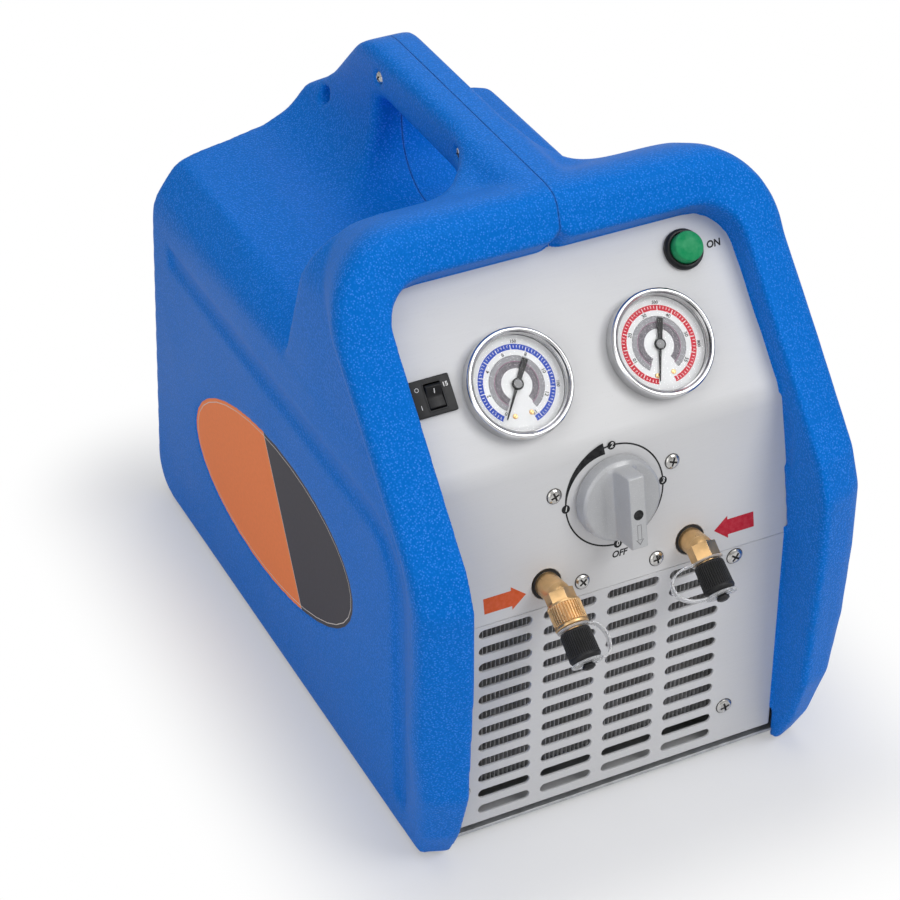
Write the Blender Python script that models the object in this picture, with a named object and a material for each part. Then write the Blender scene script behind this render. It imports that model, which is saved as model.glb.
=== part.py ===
"""Portable refrigerant recovery machine.

Two moulded half shells close round a sheet-metal front, a base plate and a
rear panel.  Inside stand the condenser, fan, motor and twin compressor.
Frame: +Z up, the front faces -Y, origin under the middle of the machine.
"""

from math import atan2, cos, pi, radians, sin, tan

import bmesh
import bpy
from mathutils import Matrix, Vector

MM = 0.001
GAP = 0.3 * MM            # clearance between pieces that touch

# Sheet-metal front
FOLD_Y = -154.6 * MM      # fold between the leaning face and the steeper face
FOLD_Z = 236.0 * MM
UPPER_LEAN = radians(43.0)
MIDDLE_LEAN = radians(10.5)
UPPER_LENGTH = 115.0 * MM
MIDDLE_LENGTH = 86.1 * MM
PANEL_CORNER = 20.0 * MM
OPENING_TOP = UPPER_LENGTH - 9.0 * MM  # how far up the shells leave the leaning face in view
SHEET = 1.5 * MM
FLANGE = 12.0 * MM

# Grille panel
GRILLE_BOTTOM = 12.0 * MM
SLOT_COLUMNS = 4
SLOT_ROWS = 12
SLOT_LENGTH = 32.0 * MM
SLOT_HEIGHT = 6.2 * MM
SLOT_PITCH_X = 38.7 * MM
SLOT_PITCH_Z = 11.3 * MM
SLOT_FIRST_X = -69.0 * MM
SLOT_FIRST_Z = 20.8 * MM

# Moulded shell
SHELL_WALL = 4.5 * MM
SHELL_BOTTOM = 3.0 * MM
BODY_HALF_WIDTH = 122.0 * MM
REAR_FOOT_Y = 224.1 * MM
REAR_LEAN = radians(6.4)
REAR_CORNER = 22.0 * MM
SHOULDER_Z = 231.0 * MM
SHOULDER_WIDTH = 34.0 * MM
SHOULDER_RISE = 27.0 * MM
VALLEY_Z = 262.0 * MM
SWEEP_RADIUS = 45.0 * MM
HANDLE_HALF_WIDTH = 17.0 * MM
HANDLE_DEPTH = 28.0 * MM
HANDLE_REAR_Y = 98.1 * MM
WINDOW_REAR_Y = 100.1 * MM
SEAM = 0.15 * MM          # each half stops this far from the middle

# Front hoop of the shell
HOOP_INNER_HALF_WIDTH = BODY_HALF_WIDTH - 18.0 * MM
HOOP_INNER_TOP = FOLD_Z + UPPER_LENGTH * cos(UPPER_LEAN) + 5.9 * MM
HOOP_INNER_RADIUS = 22.0 * MM
HOOP_FRONT_Y = -206.4 * MM
HOOP_BEND_Z = 202.0 * MM
HOOP_TOP_Y = FOLD_Y + UPPER_LENGTH * sin(UPPER_LEAN) - 20.7 * MM
HOOP_SIDE_REACH = 29.0 * MM
HOOP_TOP_REACH = 24.0 * MM
HOOP_REAR_FOOT_Y = -3.9 * MM
HOOP_REAR_FOOT_Z = 236.0 * MM
HOOP_REAR_LEAN = radians(21.0)
HANDLE_TOP = HOOP_INNER_TOP + HOOP_TOP_REACH

# Widths that follow the shell
PANEL_HALF_WIDTH = HOOP_INNER_HALF_WIDTH + 2.0 * MM
GRILLE_HALF_WIDTH = HOOP_INNER_HALF_WIDTH - 0.8 * MM
REAR_PANEL_HALF_WIDTH = BODY_HALF_WIDTH - 34.0 * MM
COIL_HALF_WIDTH = BODY_HALF_WIDTH - 34.0 * MM
FOOT_X = BODY_HALF_WIDTH - 34.0 * MM

# Panel fittings, measured on the faces from the fold
GAUGE_X = 42.4 * MM
GAUGE_UP = 41.1 * MM
GAUGE_RADIUS = 29.8 * MM
GAUGE_DEPTH = 26.0 * MM
GAUGE_PROUD = 9.5 * MM
GAUGE_RIM = 5.0 * MM
BUTTON_X = PANEL_HALF_WIDTH - 32.0 * MM
BUTTON_UP = UPPER_LENGTH - 28.0 * MM
BUTTON_CAP_RADIUS = 8.4 * MM
BUTTON_TRAVEL = 3.0 * MM
BREAKER_X = 17.5 * MM - PANEL_HALF_WIDTH
BREAKER_UP = 47.0 * MM
BREAKER_WIDTH = 23.0 * MM
BREAKER_HEIGHT = 20.0 * MM
KNOB_DOWN = 32.6 * MM
KNOB_RADIUS = 24.0 * MM
KNOB_HEIGHT = 26.0 * MM
KNOB_BAR_WIDTH = 10.5 * MM
PORT_X = 43.8 * MM
PORT_DOWN = 72.8 * MM
PORT_STUB_RADIUS = 7.8 * MM
PORT_NECK_RADIUS = 5.0 * MM
FLARE_RADIUS = 5.6 * MM
CAP_RADIUS = 9.4 * MM
CAP_LENGTH = 17.5 * MM
NUT_RADIUS = 10.4 * MM
NUT_LENGTH = 14.0 * MM
ELBOW = radians(45.0)

# Inside
FOOT_RADIUS = 11.0 * MM
BASE_SHEET = 2.0 * MM
FAN_RADIUS = 58.0 * MM
SHAFT_Z = 92.0 * MM
SHAFT_RADIUS = 5.0 * MM
MOTOR_RADIUS = 52.0 * MM
MOTOR_LENGTH = 116.0 * MM
CYLINDER_RADIUS = 24.0 * MM
COIL_DEPTH = 40.0 * MM
COIL_BOTTOM = 27.0 * MM
COIL_HEIGHT = 122.0 * MM
FIN_COUNT = 36
COIL_PLATE = 1.5 * MM
COIL_BENDS = 5
REAR_PANEL_BOTTOM = 22.0 * MM
REAR_PANEL_TOP = 214.0 * MM

ROUND = 20                # sides of a fine round piece
COARSE = 12               # sides of a small or hidden round piece
ARCH_STEPS = 8            # steps round a corner of the hoop


# Materials

def material(name, colour, roughness, metallic=0.0, alpha=1.0):
    found = bpy.data.materials.get(name)
    if found:
        return found
    made = bpy.data.materials.new(name)
    made.use_nodes = True
    shader = made.node_tree.nodes["Principled BSDF"]
    shader.inputs["Base Color"].default_value = (*colour, 1.0)
    shader.inputs["Roughness"].default_value = roughness
    shader.inputs["Metallic"].default_value = metallic
    shader.inputs["Alpha"].default_value = alpha
    return made


def blue_plastic():
    return material("blue_plastic", (0.01, 0.16, 0.62), 0.45)


def panel_silver():
    return material("panel_silver", (0.62, 0.63, 0.64), 0.45, 0.4)


def black_plastic():
    return material("black_plastic", (0.015, 0.015, 0.016), 0.5)


def black_rubber():
    return material("black_rubber", (0.02, 0.02, 0.02), 0.85)


def green_plastic():
    return material("green_plastic", (0.0, 0.32, 0.10), 0.35)


def knob_grey():
    return material("knob_grey", (0.42, 0.43, 0.44), 0.45, 0.2)


def bright_steel():
    return material("bright_steel", (0.75, 0.75, 0.76), 0.18, 1.0)


def plain_steel():
    return material("plain_steel", (0.45, 0.46, 0.48), 0.4, 0.9)


def yellow_brass():
    return material("yellow_brass", (0.72, 0.50, 0.20), 0.3, 1.0)


def red_copper():
    return material("red_copper", (0.72, 0.32, 0.18), 0.3, 1.0)


def cast_aluminium():
    return material("cast_aluminium", (0.55, 0.56, 0.57), 0.5, 0.8)


def dial_white():
    return material("dial_white", (0.82, 0.83, 0.84), 0.6)


def inlay_orange():
    return material("inlay_orange", (0.85, 0.30, 0.06), 0.5)


def motor_grey():
    return material("motor_grey", (0.12, 0.12, 0.13), 0.5, 0.5)


def clear_plastic():
    return material("clear_plastic", (0.9, 0.93, 0.95), 0.1, 0.0, 0.35)


# Modelling tools

def finish(name, work, paint, smooth=radians(35.0)):
    """Turn a bmesh into a named object with outward faces."""
    bmesh.ops.remove_doubles(work, verts=work.verts, dist=1e-6)
    bmesh.ops.recalc_face_normals(work, faces=work.faces)
    mesh = bpy.data.meshes.new(name)
    work.to_mesh(mesh)
    work.free()
    mesh.shade_smooth()
    mesh.set_sharp_from_angle(angle=smooth)
    made = bpy.data.objects.new(name, mesh)
    bpy.context.collection.objects.link(made)
    if paint:
        mesh.materials.append(paint)
    return made


def place(obj, parent=None, location=(0.0, 0.0, 0.0), rotation=(0.0, 0.0, 0.0)):
    obj.parent = parent
    obj.location = location
    obj.rotation_euler = rotation
    return obj


def empty(name, location, rotation=(0.0, 0.0, 0.0), parent=None):
    made = bpy.data.objects.new(name, None)
    bpy.context.collection.objects.link(made)
    return place(made, parent, location, rotation)


AXES = {"X": Matrix(((0, 0, 1), (1, 0, 0), (0, 1, 0))),
        "Y": Matrix(((1, 0, 0), (0, 0, 1), (0, 1, 0))),
        "Z": Matrix.Identity(3)}


def add_prism(work, outline, low, high, axis="Z"):
    """Extrude a closed outline; it lies in YZ, XZ or XY for axis X, Y or Z."""
    turn = AXES[axis]
    base = [work.verts.new(turn @ Vector((a, b, low))) for a, b in outline]
    face = work.faces.new(base)
    lifted = bmesh.ops.extrude_face_region(work, geom=[face])["geom"]
    moved = [v for v in lifted if isinstance(v, bmesh.types.BMVert)]
    bmesh.ops.translate(work, verts=moved, vec=turn @ Vector((0, 0, high - low)))


def prism(name, outline, low, high, axis="Z", paint=None):
    work = bmesh.new()
    add_prism(work, outline, low, high, axis)
    return finish(name, work, paint)


def add_box(work, low, high):
    add_prism(work, [(low[0], low[1]), (high[0], low[1]), (high[0], high[1]), (low[0], high[1])],
              low[2], high[2])


def box(name, low, high, paint=None):
    work = bmesh.new()
    add_box(work, low, high)
    return finish(name, work, paint)


def add_turned(work, profile, sides, matrix=None):
    """Spin a profile of (radius, height) points about local Z."""
    verts = [work.verts.new((r, 0.0, h)) for r, h in profile]
    edges = [work.edges.new(pair) for pair in zip(verts, verts[1:])]
    if profile[0][0] > 0 and profile[-1][0] > 0:
        edges.append(work.edges.new((verts[-1], verts[0])))
    bmesh.ops.spin(work, geom=verts + edges, cent=(0, 0, 0), axis=(0, 0, 1), angle=2 * pi,
                   steps=sides, use_merge=True, use_duplicate=False)
    spun = [v for v in work.verts if v.is_valid and not v.tag]
    bmesh.ops.remove_doubles(work, verts=spun, dist=1e-6)
    spun = [v for v in work.verts if not v.tag]
    if matrix:
        bmesh.ops.transform(work, matrix=matrix, verts=spun)
    for v in spun:
        v.tag = True


def turned(name, profile, sides=ROUND, paint=None, matrix=None):
    work = bmesh.new()
    add_turned(work, profile, sides, matrix)
    return finish(name, work, paint)


def disc_profile(radius, low, high):
    return [(0.0, low), (radius, low), (radius, high), (0.0, high)]


def ring_profile(inner, outer, low, high):
    return [(inner, low), (outer, low), (outer, high), (inner, high)]


def bridge_rings(work, rings, cap):
    """Skin a row of equal closed rings, and close its two ends."""
    for ring, following in zip(rings, rings[1:]):
        for i in range(len(ring)):
            j = (i + 1) % len(ring)
            work.faces.new((ring[i], ring[j], following[j], following[i]))
    if cap:
        work.faces.new(rings[0])
        work.faces.new(rings[-1])


def hexahedral(name, lattice, paint=None):
    """Close the outside of a lattice of points, lattice[i][j] -> (outer, middle)."""
    work = bmesh.new()
    grid = [[[work.verts.new(p) for p in pair] for pair in row] for row in lattice]
    rows, columns = len(grid), len(grid[0])
    for i in range(rows - 1):
        for j in range(columns - 1):
            for side in (0, 1):
                work.faces.new((grid[i][j][side], grid[i + 1][j][side],
                                grid[i + 1][j + 1][side], grid[i][j + 1][side]))
    for i in range(rows - 1):
        for j in (0, columns - 1):
            work.faces.new((grid[i][j][0], grid[i + 1][j][0], grid[i + 1][j][1], grid[i][j][1]))
    for j in range(columns - 1):
        for i in (0, rows - 1):
            work.faces.new((grid[i][j][0], grid[i][j + 1][0], grid[i][j + 1][1], grid[i][j][1]))
    return finish(name, work, paint)


def boolean(target, tool, operation="DIFFERENCE"):
    """Cut or join with a hidden tool object, exactly."""
    tool.hide_render = True
    tool.display_type = "WIRE"
    step = target.modifiers.new(tool.name, "BOOLEAN")
    step.object = tool
    step.operation = operation
    step.solver = "EXACT"


def arc(centre, radius, start, end, steps):
    """Points round an arc, angles in degrees."""
    turns = [radians(start + (end - start) * i / steps) for i in range(steps + 1)]
    return [(centre[0] + radius * cos(t), centre[1] + radius * sin(t)) for t in turns]


def rounded_outline(corners, radii, steps=4):
    """Round each corner of a closed outline by its own radius."""
    points = []
    count = len(corners)
    for i, corner in enumerate(corners):
        here = Vector(corner)
        back = (Vector(corners[i - 1]) - here).normalized()
        ahead = (Vector(corners[(i + 1) % count]) - here).normalized()
        radius = radii[i] if isinstance(radii, (list, tuple)) else radii
        if radius <= 0:
            points.append(tuple(here))
            continue
        half = back.angle(ahead) / 2
        reach = radius / tan(half)
        centre = here + (back + ahead).normalized() * (radius / sin(half))
        start = here + back * reach - centre
        end = here + ahead * reach - centre
        first = atan2(start.y, start.x)
        sweep_angle = (atan2(end.y, end.x) - first + pi) % (2 * pi) - pi
        for step in range(steps + 1):
            t = first + sweep_angle * step / steps
            points.append((centre.x + radius * cos(t), centre.y + radius * sin(t)))
    return points


def rectangle(width, height, x=0.0, y=0.0):
    a, b = width / 2, height / 2
    return [(x - a, y - b), (x + a, y - b), (x + a, y + b), (x - a, y + b)]


def slot_outline(length, height, x, y, steps=2):
    reach = (length - height) / 2
    right = arc((x + reach, y), height / 2, -90, 90, steps)
    left = arc((x - reach, y), height / 2, 90, 270, steps)
    return right + left


def perforated(name, outline, holes, thickness, paint=None):
    """A flat sheet in local XY with holes, its front face at z = 0."""
    work = bmesh.new()
    edges = []
    for loop in [outline] + holes:
        verts = [work.verts.new((x, y, 0.0)) for x, y in loop]
        for i, vert in enumerate(verts):
            edges.append(work.edges.new((vert, verts[(i + 1) % len(verts)])))
    filled = bmesh.ops.triangle_fill(work, use_beauty=True, use_dissolve=False, edges=edges)
    faces = [f for f in filled["geom"] if isinstance(f, bmesh.types.BMFace)]
    lifted = bmesh.ops.extrude_face_region(work, geom=faces)["geom"]
    moved = [v for v in lifted if isinstance(v, bmesh.types.BMVert)]
    bmesh.ops.translate(work, verts=moved, vec=(0.0, 0.0, -thickness))
    return finish(name, work, paint)


def pipe(name, route, radius, paint, samples=4, sides=8):
    """A bent copper pipe on a smooth curve through its route's points."""
    points = [Vector(p) for p in route]
    ends = [points[0] * 2 - points[1]] + points + [points[-1] * 2 - points[-2]]
    line = []
    for a, b, c, d in zip(ends, ends[1:], ends[2:], ends[3:]):
        for step in range(samples):
            t = step / samples
            line.append(0.5 * ((2 * b) + (c - a) * t + (2 * a - 5 * b + 4 * c - d) * t * t
                               + (3 * b - a - 3 * c + d) * t ** 3))
    line.append(points[-1])
    work = bmesh.new()
    across = (line[1] - line[0]).orthogonal().normalized()
    rings = []
    for before, point, after in zip([line[0]] + line, line, line[1:] + [line[-1]]):
        along = (after - before).normalized()
        across = (across - along * across.dot(along)).normalized()
        other = along.cross(across)
        turns = [2 * pi * step / sides for step in range(sides)]
        rings.append([work.verts.new(point + (across * cos(t) + other * sin(t)) * radius) for t in turns])
    bridge_rings(work, rings, cap=True)
    bmesh.ops.triangulate(work, faces=work.faces)
    return finish(name, work, paint)


# Places on the panel faces

def upper_point(up, out=0.0):
    """(y, z) on the leaning face, up from the fold and out from the face."""
    return (FOLD_Y + up * sin(UPPER_LEAN) - out * cos(UPPER_LEAN),
            FOLD_Z + up * cos(UPPER_LEAN) + out * sin(UPPER_LEAN))


def middle_point(down, out=0.0):
    """(y, z) on the steeper face, down from the fold and out from the face."""
    return (FOLD_Y - down * sin(MIDDLE_LEAN) - out * cos(MIDDLE_LEAN),
            FOLD_Z - down * cos(MIDDLE_LEAN) + out * sin(MIDDLE_LEAN))


def front_line(out):
    """The panel's bent front face from bottom to top, moved out by a distance."""
    half = (UPPER_LEAN - MIDDLE_LEAN) / 2
    lean = (UPPER_LEAN + MIDDLE_LEAN) / 2
    fold_out = out / cos(half)
    fold = (FOLD_Y - fold_out * cos(lean), FOLD_Z + fold_out * sin(lean))
    return [middle_point(MIDDLE_LENGTH, out), fold, upper_point(UPPER_LENGTH, out)]


GRILLE_Y = middle_point(MIDDLE_LENGTH)[0]
PANEL_ROOM_TOP = UPPER_LENGTH + 2 * MM
GRILLE_TOP = middle_point(MIDDLE_LENGTH)[1] - GAP


# Moulded shell

def hoop_lip_y(z):
    """Where the hoop's front edge stands, by height."""
    slope = (HOOP_TOP_Y - HOOP_FRONT_Y) / (HOOP_INNER_TOP - HOOP_BEND_Z)
    foot = [(SHELL_BOTTOM, 30.5 * MM), (24 * MM, 18.5 * MM), (60 * MM, 6.5 * MM), (150 * MM, 0.0)]
    if z >= HOOP_BEND_Z:
        return HOOP_FRONT_Y + (z - HOOP_BEND_Z) * slope
    for (z0, y0), (z1, y1) in zip(foot, foot[1:]):
        if z <= z1:
            return HOOP_FRONT_Y + y0 + (y1 - y0) * (z - z0) / (z1 - z0)
    return HOOP_FRONT_Y


def hoop_rings():
    """(reach, setback) pairs for the side and for the top of the hoop, front to rear."""
    side, top = HOOP_SIDE_REACH, HOOP_TOP_REACH
    wall = BODY_HALF_WIDTH - HOOP_INNER_HALF_WIDTH - 0.5 * MM
    return [((-1.0 * MM, 0.0), (-1.0 * MM, 0.0)),
            ((3.0 * MM, 0.3 * MM), (3.0 * MM, 0.3 * MM)),
            ((side * 0.72, 6.5 * MM), (top * 0.72, 6.5 * MM)),
            ((side * 0.95, 10.5 * MM), (top * 0.95, 11.0 * MM)),
            ((side, 17.0 * MM), (top, 20.0 * MM)),
            ((side * 0.93, 25.0 * MM), (top * 0.9, 30.0 * MM)),
            ((wall, 48.0 * MM), (top * 0.25, 62.0 * MM)),
            ((wall, 215.0 * MM), (-12.0 * MM, 215.0 * MM))]


def hoop_solid():
    """The hoop as rounded arches, one behind the other, cut by its rear wall."""
    wall = BODY_HALF_WIDTH - HOOP_INNER_HALF_WIDTH - 0.5 * MM
    corner_z = HOOP_INNER_TOP - HOOP_INNER_RADIUS
    heights = [262 * MM, 236 * MM, HOOP_BEND_Z + 10 * MM, HOOP_BEND_Z - 10 * MM, 150 * MM, 100 * MM,
               60 * MM, 24 * MM, SHELL_BOTTOM]
    lattice = []
    for step in range(ARCH_STEPS + 1):
        share = step / ARCH_STEPS
        angle = pi / 2 * (1 - share)
        lip = hoop_lip_y(corner_z + HOOP_INNER_RADIUS * sin(angle))
        row = []
        for side, top in hoop_rings():
            radius = HOOP_INNER_RADIUS + max(-2 * MM, min(side[0], (side[0] + top[0]) / 2))
            x = HOOP_INNER_HALF_WIDTH + side[0] - radius + radius * cos(angle)
            z = HOOP_INNER_TOP + top[0] - radius + radius * sin(angle)
            y = lip + top[1] + (side[1] - top[1]) * share
            row.append(((x, y, z), (SEAM, y, z if step == 0 else corner_z + (8 - 20 * share) * MM)))
        lattice.append(row)
    for z in heights:
        full = max(0.0, min(1.0, (z - SHELL_BOTTOM) / (90 * MM)))
        row = []
        for side, top in hoop_rings():
            reach = min(side[0], wall) + max(0.0, side[0] - wall) * full
            y = hoop_lip_y(z) + side[1]
            row.append(((HOOP_INNER_HALF_WIDTH + reach, y, z), (SEAM, y, z)))
        lattice.append(row)
    made = hexahedral("shell_hoop_form", lattice)
    work = bmesh.new()
    work.from_mesh(made.data)
    across = Vector((0.0, cos(HOOP_REAR_LEAN), sin(HOOP_REAR_LEAN)))
    cut = bmesh.ops.bisect_plane(work, geom=work.verts[:] + work.edges[:] + work.faces[:],
                                 plane_co=(0.0, HOOP_REAR_FOOT_Y, HOOP_REAR_FOOT_Z),
                                 plane_no=across, clear_outer=True)
    rim = [e for e in cut["geom_cut"] if isinstance(e, bmesh.types.BMEdge)]
    bmesh.ops.contextual_create(work, geom=rim)
    bmesh.ops.recalc_face_normals(work, faces=work.faces)
    work.to_mesh(made.data)
    work.free()
    return made


def body_section(y):
    """Half outline of the body in XZ at a place along Y, bottom to handle top."""
    rise = (SHOULDER_Z - 6 * MM) + (195 * MM - y) * 0.055
    edge = BODY_HALF_WIDTH - SHOULDER_WIDTH
    flank = HANDLE_HALF_WIDTH + SWEEP_RADIUS
    centre = (flank, VALLEY_Z + SWEEP_RADIUS)
    sweep_arc = arc(centre, SWEEP_RADIUS, 270, 180, 5)
    brow = min(rise + SHOULDER_RISE - 3 * MM, VALLEY_Z - 4.5 * MM)
    crown = rounded_outline([(HANDLE_HALF_WIDTH, HANDLE_TOP - 20 * MM), (HANDLE_HALF_WIDTH, HANDLE_TOP),
                             (-HANDLE_HALF_WIDTH, HANDLE_TOP)], [0, 8 * MM, 0], 3)[1:5]
    return ([(BODY_HALF_WIDTH, -10 * MM), (BODY_HALF_WIDTH, rise - 5 * MM),
             (BODY_HALF_WIDTH - 3 * MM, rise + 1 * MM), (edge + 4 * MM, brow),
             (edge - 6 * MM, brow + 2.5 * MM)] + sweep_arc + crown)


def body_solid():
    front = -157 * MM
    lattice = []
    rows = [body_section(y) for y in (front, REAR_FOOT_Y + 5 * MM)]
    for near, far in zip(*rows):
        lattice.append([((x, y, z), (SEAM, y, z))
                        for (x, z), y in ((near, front), (far, REAR_FOOT_Y + 5 * MM))])
    return hexahedral("shell_body_form", lattice)


def rear_y(z, inset=0.0):
    """The rear wall's place by height."""
    return REAR_FOOT_Y - inset / cos(REAR_LEAN) - (z - SHELL_BOTTOM) * tan(REAR_LEAN)


def side_profile():
    """The machine seen from the side: what the body may fill."""
    crest = SHOULDER_Z + 54 * MM
    above = HANDLE_TOP + 1 * MM
    inside = HOOP_FRONT_Y + 59.4 * MM
    tail = rear_y(crest) - 24.6 * MM
    corners = [(inside, SHELL_BOTTOM), (rear_y(SHELL_BOTTOM), SHELL_BOTTOM), (rear_y(crest), crest),
               (tail, crest + 16 * MM), (HANDLE_REAR_Y + 19.4 * MM, above), (-75.4 * MM, above),
               (-71.4 * MM, HANDLE_TOP - 32 * MM), (inside, SHOULDER_Z - 3 * MM)]
    radii = [0, REAR_CORNER, 9 * MM, 60 * MM, 50 * MM, 0, 0, 0]
    return rounded_outline(corners, radii, 5)


def shell_cavity(upper):
    """The hollow inside: a body part and a part under the hoop."""
    wall = SHELL_WALL
    half = BODY_HALF_WIDTH - wall
    low = -20 * MM
    edge = BODY_HALF_WIDTH - SHOULDER_WIDTH - 2 * MM
    ceiling = VALLEY_Z - 2 * wall
    section = [(-SEAM, low), (half, low), (half, SHOULDER_Z - 18 * MM), (edge, SHOULDER_Z + 10 * MM),
               (HANDLE_HALF_WIDTH + SWEEP_RADIUS, ceiling), (-SEAM, ceiling)]
    line = front_line(GAP)
    foot = (GRILLE_Y - GAP, low)
    grille = (GRILLE_Y - GAP, GRILLE_TOP - 6 * MM)
    rear_low = (rear_y(low, wall), low)
    rear_high = (rear_y(ceiling + 30 * MM, wall), ceiling + 30 * MM)
    body = prism("shell_cavity_body", section, GRILLE_Y - 60 * MM, REAR_FOOT_Y + 40 * MM, "Y")
    profile = prism("shell_cavity_profile",
                    [foot, grille] + line + [(line[2][0] + 20 * MM, line[2][1]),
                                             (HOOP_REAR_FOOT_Y - 24 * MM, HOOP_REAR_FOOT_Z + 30 * MM),
                                             rear_high, rear_low], -1 * MM, half + 1 * MM, "X")
    boolean(body, profile, "INTERSECT")
    hollow = prism("shell_cavity_hoop",
                   corner_outline(half, PANEL_ROOM_TOP, PANEL_CORNER + 8 * MM, -70 * MM), -150 * MM, GAP)
    place(hollow, upper)
    reach = HOOP_REAR_FOOT_Y - wall / cos(HOOP_REAR_LEAN)
    climb = HANDLE_TOP - HOOP_REAR_FOOT_Z
    cover = prism("shell_cavity_hoop_profile",
                  [(GRILLE_Y, 190 * MM), (reach + 44 * MM * tan(HOOP_REAR_LEAN), 190 * MM),
                   (reach - climb * tan(HOOP_REAR_LEAN), HANDLE_TOP), (GRILLE_Y, HANDLE_TOP)],
                  -2 * MM, half + 1 * MM, "X")
    boolean(hollow, cover, "INTERSECT")
    return body, hollow


def corner_outline(half, top, radius, bottom):
    """Half of a panel-shaped outline, from just past the middle, with its top corner round."""
    return rounded_outline([(-1 * MM, bottom), (half, bottom), (half, top), (-1 * MM, top)],
                           [0, 0, radius, 0], 5)


def front_openings(upper):
    """The opening of the hoop in which the panels stand, in an upper and a lower part."""
    half = HOOP_INNER_HALF_WIDTH
    outline = corner_outline(half, OPENING_TOP, PANEL_CORNER + 4 * MM, -15 * MM)
    above = prism("shell_upper_opening", outline, -3 * MM, 150 * MM)
    place(above, upper)
    fold = front_line(-3 * MM)[1]
    level = FOLD_Z + 6 * MM
    back = [(-300 * MM, -40 * MM), (GRILLE_Y + 3 * MM, -40 * MM), (GRILLE_Y + 3 * MM, GRILLE_TOP), fold,
            (fold[0], level), (-300 * MM, level)]
    below = prism("shell_lower_opening", back, -1 * MM, half, "X")
    return above, below


def handle_window():
    """The finger opening under the handle, open to both sides."""
    top = HANDLE_TOP - HANDLE_DEPTH
    bottom = VALLEY_Z + 0.4 * MM
    lean = tan(HOOP_REAR_LEAN)
    front_low = HOOP_REAR_FOOT_Y - (bottom - HOOP_REAR_FOOT_Z) * lean
    front_high = HOOP_REAR_FOOT_Y - (top - HOOP_REAR_FOOT_Z) * lean
    outline = rounded_outline([(front_low, bottom), (WINDOW_REAR_Y, bottom), (WINDOW_REAR_Y, top),
                               (front_high, top)], [8 * MM, 34 * MM, 12 * MM, 8 * MM], 5)
    return prism("shell_handle_window", outline, -5 * MM, BODY_HALF_WIDTH, "X")


def handle_fillet():
    """The plan curve by which the handle grows out of the hoop's top."""
    radius = 36 * MM
    low = HANDLE_TOP - HANDLE_DEPTH + 1 * MM
    corner_y = HOOP_REAR_FOOT_Y - (low - HOOP_REAR_FOOT_Z) * tan(HOOP_REAR_LEAN)
    inner = HANDLE_HALF_WIDTH - 4 * MM
    lattice = []
    for step in range(6):
        t = step / 5
        angle = pi + pi / 2 * t
        x = HANDLE_HALF_WIDTH + radius + radius * cos(angle)
        y = corner_y + radius + radius * sin(angle)
        top = HANDLE_TOP - 3 * MM - 14 * MM * t
        back = corner_y - 30 * MM
        lattice.append([((x, y, low), (x, y, top)), ((x, back, low), (x, back, top))])
    start = [((inner, corner_y + radius, low), (inner, corner_y + radius, HANDLE_TOP - 2 * MM)),
             ((inner, corner_y - 30 * MM, low), (inner, corner_y - 30 * MM, HANDLE_TOP - 2 * MM))]
    return hexahedral("shell_handle_fillet", [start] + lattice)


def side_channel():
    """The shallow channel that runs under the shoulder and down behind the hoop."""
    half_width = 8.5 * MM
    level, bottom, bend = SHOULDER_Z - 30 * MM, 24 * MM, 36 * MM
    rear, turn_y = REAR_FOOT_Y - 50.5 * MM, HOOP_FRONT_Y + 58 * MM
    centre = (turn_y + bend, level - bend)
    rings = []
    for grow, x in ((0.0, BODY_HALF_WIDTH + 1 * MM), (-3.0 * MM, BODY_HALF_WIDTH - 2.6 * MM)):
        reach = half_width + grow
        outer = arc(centre, bend + reach, 90, 180, 6)
        inner = arc(centre, bend - reach, 180, 90, 6)
        outline = ([(rear, level + reach)] + outer + [(turn_y - reach, bottom), (turn_y + reach, bottom)]
                   + inner + [(rear, level - reach)])
        rings.append([(x, y, z) for y, z in outline])
    work = bmesh.new()
    bridge_rings(work, [[work.verts.new(p) for p in ring] for ring in rings], cap=True)
    return finish("shell_side_channel", work, None)


SHELL_POCKETS = [(-94.6 * MM, 275.2 * MM, BODY_HALF_WIDTH - 14 * MM),
                 (-121.5 * MM, 244.2 * MM, BODY_HALF_WIDTH - 6 * MM),
                 (164.1 * MM, 290.0 * MM, 12 * MM)]
POCKET_RADIUS = 5.2 * MM
HANDLE_SCREWS = [(-7.9 * MM, HANDLE_TOP - 13.0 * MM), (94.6 * MM, HANDLE_TOP - 16.0 * MM)]
HANDLE_SCREW_SINK = 3.5 * MM


def pocket_cutters():
    cutters = []
    for index, (y, z, depth) in enumerate(SHELL_POCKETS):
        turn = Matrix.Translation((depth, y, z)) @ Matrix.Rotation(pi / 2, 4, "Y")
        cutters.append(turned("shell_pocket_%d" % index, disc_profile(POCKET_RADIUS, 0.0, 60 * MM),
                              COARSE, None, turn))
    for index, (y, z) in enumerate(HANDLE_SCREWS):
        sink = HANDLE_HALF_WIDTH - HANDLE_SCREW_SINK
        turn = Matrix.Translation((sink, y, z)) @ Matrix.Rotation(pi / 2, 4, "Y")
        hole = disc_profile(POCKET_RADIUS - 1 * MM, 0.0, 30 * MM)
        cutters.append(turned("shell_handle_hole_%d" % index, hole, COARSE, None, turn))
    return cutters


def rear_opening():
    outline = rounded_outline([(-1 * MM, REAR_PANEL_BOTTOM + 6 * MM),
                               (REAR_PANEL_HALF_WIDTH - 6 * MM, REAR_PANEL_BOTTOM + 6 * MM),
                               (REAR_PANEL_HALF_WIDTH - 6 * MM, REAR_PANEL_TOP - 6 * MM),
                               (-1 * MM, REAR_PANEL_TOP - 6 * MM)], [0, 12 * MM, 12 * MM, 0], 3)
    return prism("shell_rear_opening", outline, REAR_FOOT_Y - 74 * MM, REAR_FOOT_Y + 36 * MM, "Y")


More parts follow.
